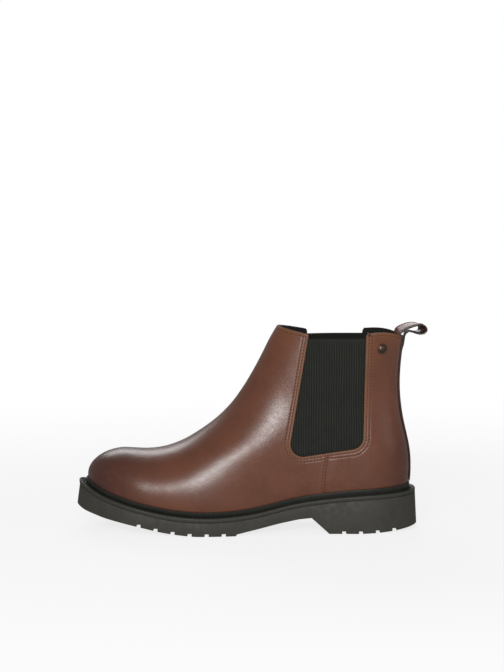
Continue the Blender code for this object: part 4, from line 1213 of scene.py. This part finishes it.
def make_outsole():
    """The moulded rubber unit: walls that flare towards the ground, tread slots and softened edges."""
    count = 440
    rings = []
    for z in (-12.0, 60.0):
        def outset(x, z=z):
            return lip_outset(x) + (feather(x) - LIP_THICKNESS - z) * wall_flare(x)
        rings.append(np.column_stack([plan_loop(count, outset), np.full(count, z)]))
    outsole = tube("outsole_unit", rings, "sole")
    underside, edge = sole_underside(), plan_loop(600, lip_outset)
    x = np.linspace(164, -164, 130)
    profile = np.concatenate([underside, np.stack([x, feather(x) - LIP_THICKNESS - 0.1], axis=1)])
    near = np.column_stack([profile[:, 0], np.full(len(profile), -90.0), profile[:, 1]])
    cut(outsole, tube("side_profile", [near, near * (1, -1, 1)]), "INTERSECT")
    boxes = []
    for x in FOREPART_GROOVES + HEEL_GROOVES:
        top_z = float(np.interp(x, underside[:, 0], underside[:, 1])) + GROOVE_DEPTH
        for side in (LATERAL, MEDIAL):
            near = edge[np.sign(edge[:, 1] - centre_line(edge[:, 0])) == side]
            inner = near[np.argmin(abs(near[:, 0] - x)), 1] - side * GROOVE_REACH
            boxes.append(((x, inner + side * 20.0, top_z - 10.0), (GROOVE_WIDTH, 40.0, 20.0)))
    cut(outsole, box_helper(boxes), "DIFFERENCE")
    bevel = outsole.modifiers.new("soft_edges", "BEVEL")
    bevel.width = 0.45 * MM
    bevel.segments = 2
    bevel.limit_method = "ANGLE"
    bevel.angle_limit = math.radians(40)
    bake_modifiers(outsole)
    outsole.data.shade_smooth()
    outsole.data.set_sharp_from_angle(angle=math.radians(35))
    finish_piece(outsole, "sole_rubber", "outsole")


def make_sock():
    """The cushioned insock: a crowned pad that fills the bottom of the boot."""
    loop = plan_loop(600, -5.6)
    turned = np.roll(loop, -int(np.argmin(loop[:, 0])), axis=0)
    heel = int(np.argmax(turned[:, 0]))
    first, last = turned[0, 0] + GAP, turned[heel, 0] - GAP
    rings = []
    for x in (first + last) / 2 - (last - first) / 2 * np.cos(np.linspace(0, math.pi, 90)):
        lateral = np.interp(x, turned[: heel + 1, 0], turned[: heel + 1, 1])
        medial = np.interp(x, turned[: heel - 1 : -1, 0], turned[: heel - 1 : -1, 1])
        base = float(feather(x)) + 2.6 + 2.0 * float(ease((x - 30.0) / 30.0))
        middle, half = (lateral + medial) / 2, (medial - lateral) / 2
        share = np.sin(np.linspace(-math.pi / 2, math.pi / 2, 17))
        crown = 3.0 * (1 - 0.55 * abs(share) ** 7) - 0.5 * ease((x - 70.0) / 40.0) * (1 - share**2)
        upper = [(x, middle + half * s, base + h) for s, h in zip(share, crown)]
        lower = [(x, middle + half * s * 0.985, base) for s in share[::-4]]
        rings.append(np.array(upper + lower))
    sock = tube("sock_cushion", rings, "foam")
    finish_piece(sock, "foam", "sock")


# ---------------------------------------------------------------- camera, light and floor


def make_stage():
    """A round pale floor that glows: at least four fifths emission near the boot, which paints its shadow
    faint, and pure white emission away from it.
    """
    turns, radius = np.linspace(0, 2 * math.pi, 96, endpoint=False), 9.0
    ring = [(radius * math.cos(turn), radius * math.sin(turn), 0.0) for turn in turns]
    mesh = bpy.data.meshes.new("floor")
    mesh.from_pydata(ring, [], [tuple(range(len(ring)))])
    floor = new_object("floor", mesh)
    floor.visible_glossy = False
    paint = bpy.data.materials.new("white_floor")
    paint.use_nodes = True
    tree = paint.node_tree
    shader = tree.nodes["Principled BSDF"]
    shader.inputs["Base Color"].default_value = (0.86, 0.86, 0.86, 1.0)
    shader.inputs["Roughness"].default_value = 0.8
    place = add_node(tree, "TexCoord").outputs["Object"]
    away = add_node(tree, "VectorMath", {0: place}, operation="LENGTH").outputs["Value"]
    share = {0: away, 1: 0.2, 2: 1.0, 3: 0.8}
    far = add_node(tree, "MapRange", share, interpolation_type="SMOOTHSTEP").outputs[0]
    glow = add_node(tree, "Emission", {"Color": (1, 1, 1, 1), "Strength": 1.0}).outputs[0]
    mix = add_node(tree, "MixShader", {0: far, 1: shader.outputs[0], 2: glow}).outputs[0]
    tree.links.new(mix, tree.nodes["Material Output"].inputs[0])
    mesh.materials.append(paint)


def make_world():
    """Even white light from all round, dimmer than the white that the camera sees."""
    world = bpy.data.worlds.new("studio")
    bpy.context.scene.world = world
    world.use_nodes = True
    tree = world.node_tree
    seen = add_node(tree, "LightPath").outputs["Is Camera Ray"]
    strength = add_node(tree, "MapRange", {0: seen, 3: 0.25, 4: 1.0}).outputs[0]
    background = tree.nodes["Background"]
    background.inputs["Color"].default_value = (1.0, 1.0, 1.0, 1.0)
    tree.links.new(strength, background.inputs["Strength"])


def area_light(name, place, target, size, power):
    lamp = bpy.data.lights.new(name, "AREA")
    lamp.shape = "RECTANGLE"
    lamp.size, lamp.size_y = size
    lamp.energy = power
    light = new_object(name, lamp)
    light.location = place
    light.rotation_euler = (Vector(target) - Vector(place)).to_track_quat("-Z", "Y").to_euler()
    light.visible_camera = False


def make_camera():
    camera = bpy.data.cameras.new("camera")
    camera.lens = 106.5
    camera.sensor_fit = "VERTICAL"
    camera.sensor_height = 36.0
    eye = new_object("camera", camera)
    eye.location = (0.0, -1.75, 0.329)
    eye.rotation_euler = (math.radians(90.0 - 5.2), 0.0, 0.0)
    bpy.context.scene.camera = eye


def finish_hidden_nodes():
    """Procedural materials for the CAD nodes that stay, inside the boot."""
    kinds = {"heel_grip": "lining", "toe_puff": "fibreboard", "heel_counter": "fibreboard",
             "insole_board": "fibreboard", "shank": "steel", "bottom_filler": "cork", "heel_pad": "foam"}
    for name, kind in kinds.items():
        for material_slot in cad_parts[name].material_slots:
            material_slot.material = MATERIALS[kind]


def main():
    make_camera()
    make_world()
    make_stage()
    area_light("key", (-0.26, -2.0, 0.88), (0.0, 0.0, 0.07), (0.95, 0.34), 33.0)
    area_light("back", (-0.3, 1.7, 1.25), (0.0, 0.0, 0.07), (1.4, 0.6), 12.0)
    area_light("side", (1.7, -0.9, 0.8), (0.0, 0.0, 0.08), (0.9, 0.9), 2.5)
    upper_seams, welt_seam = Stitching(), Stitching()
    make_vamp(upper_seams)
    for side in SIDES:
        make_quarter(side, upper_seams)
    make_backstay(upper_seams)
    for side in SIDES:
        make_gore(side)
    make_linings()
    make_stud()
    make_pull_tab()
    make_welt(welt_seam)
    make_outsole()
    make_sock()
    finish_piece(upper_seams.threads.make("upper_thread", "thread"), "leather")
    finish_piece(upper_seams.prick_shades.make("upper_needle_prick_shades", "prick_shade"), "leather")
    finish_piece(welt_seam.threads.make("welt_thread", "grey_thread"), "welt_rubber")
    finish_hidden_nodes()
    bpy.context.scene.view_settings.view_transform = "Standard"


main()
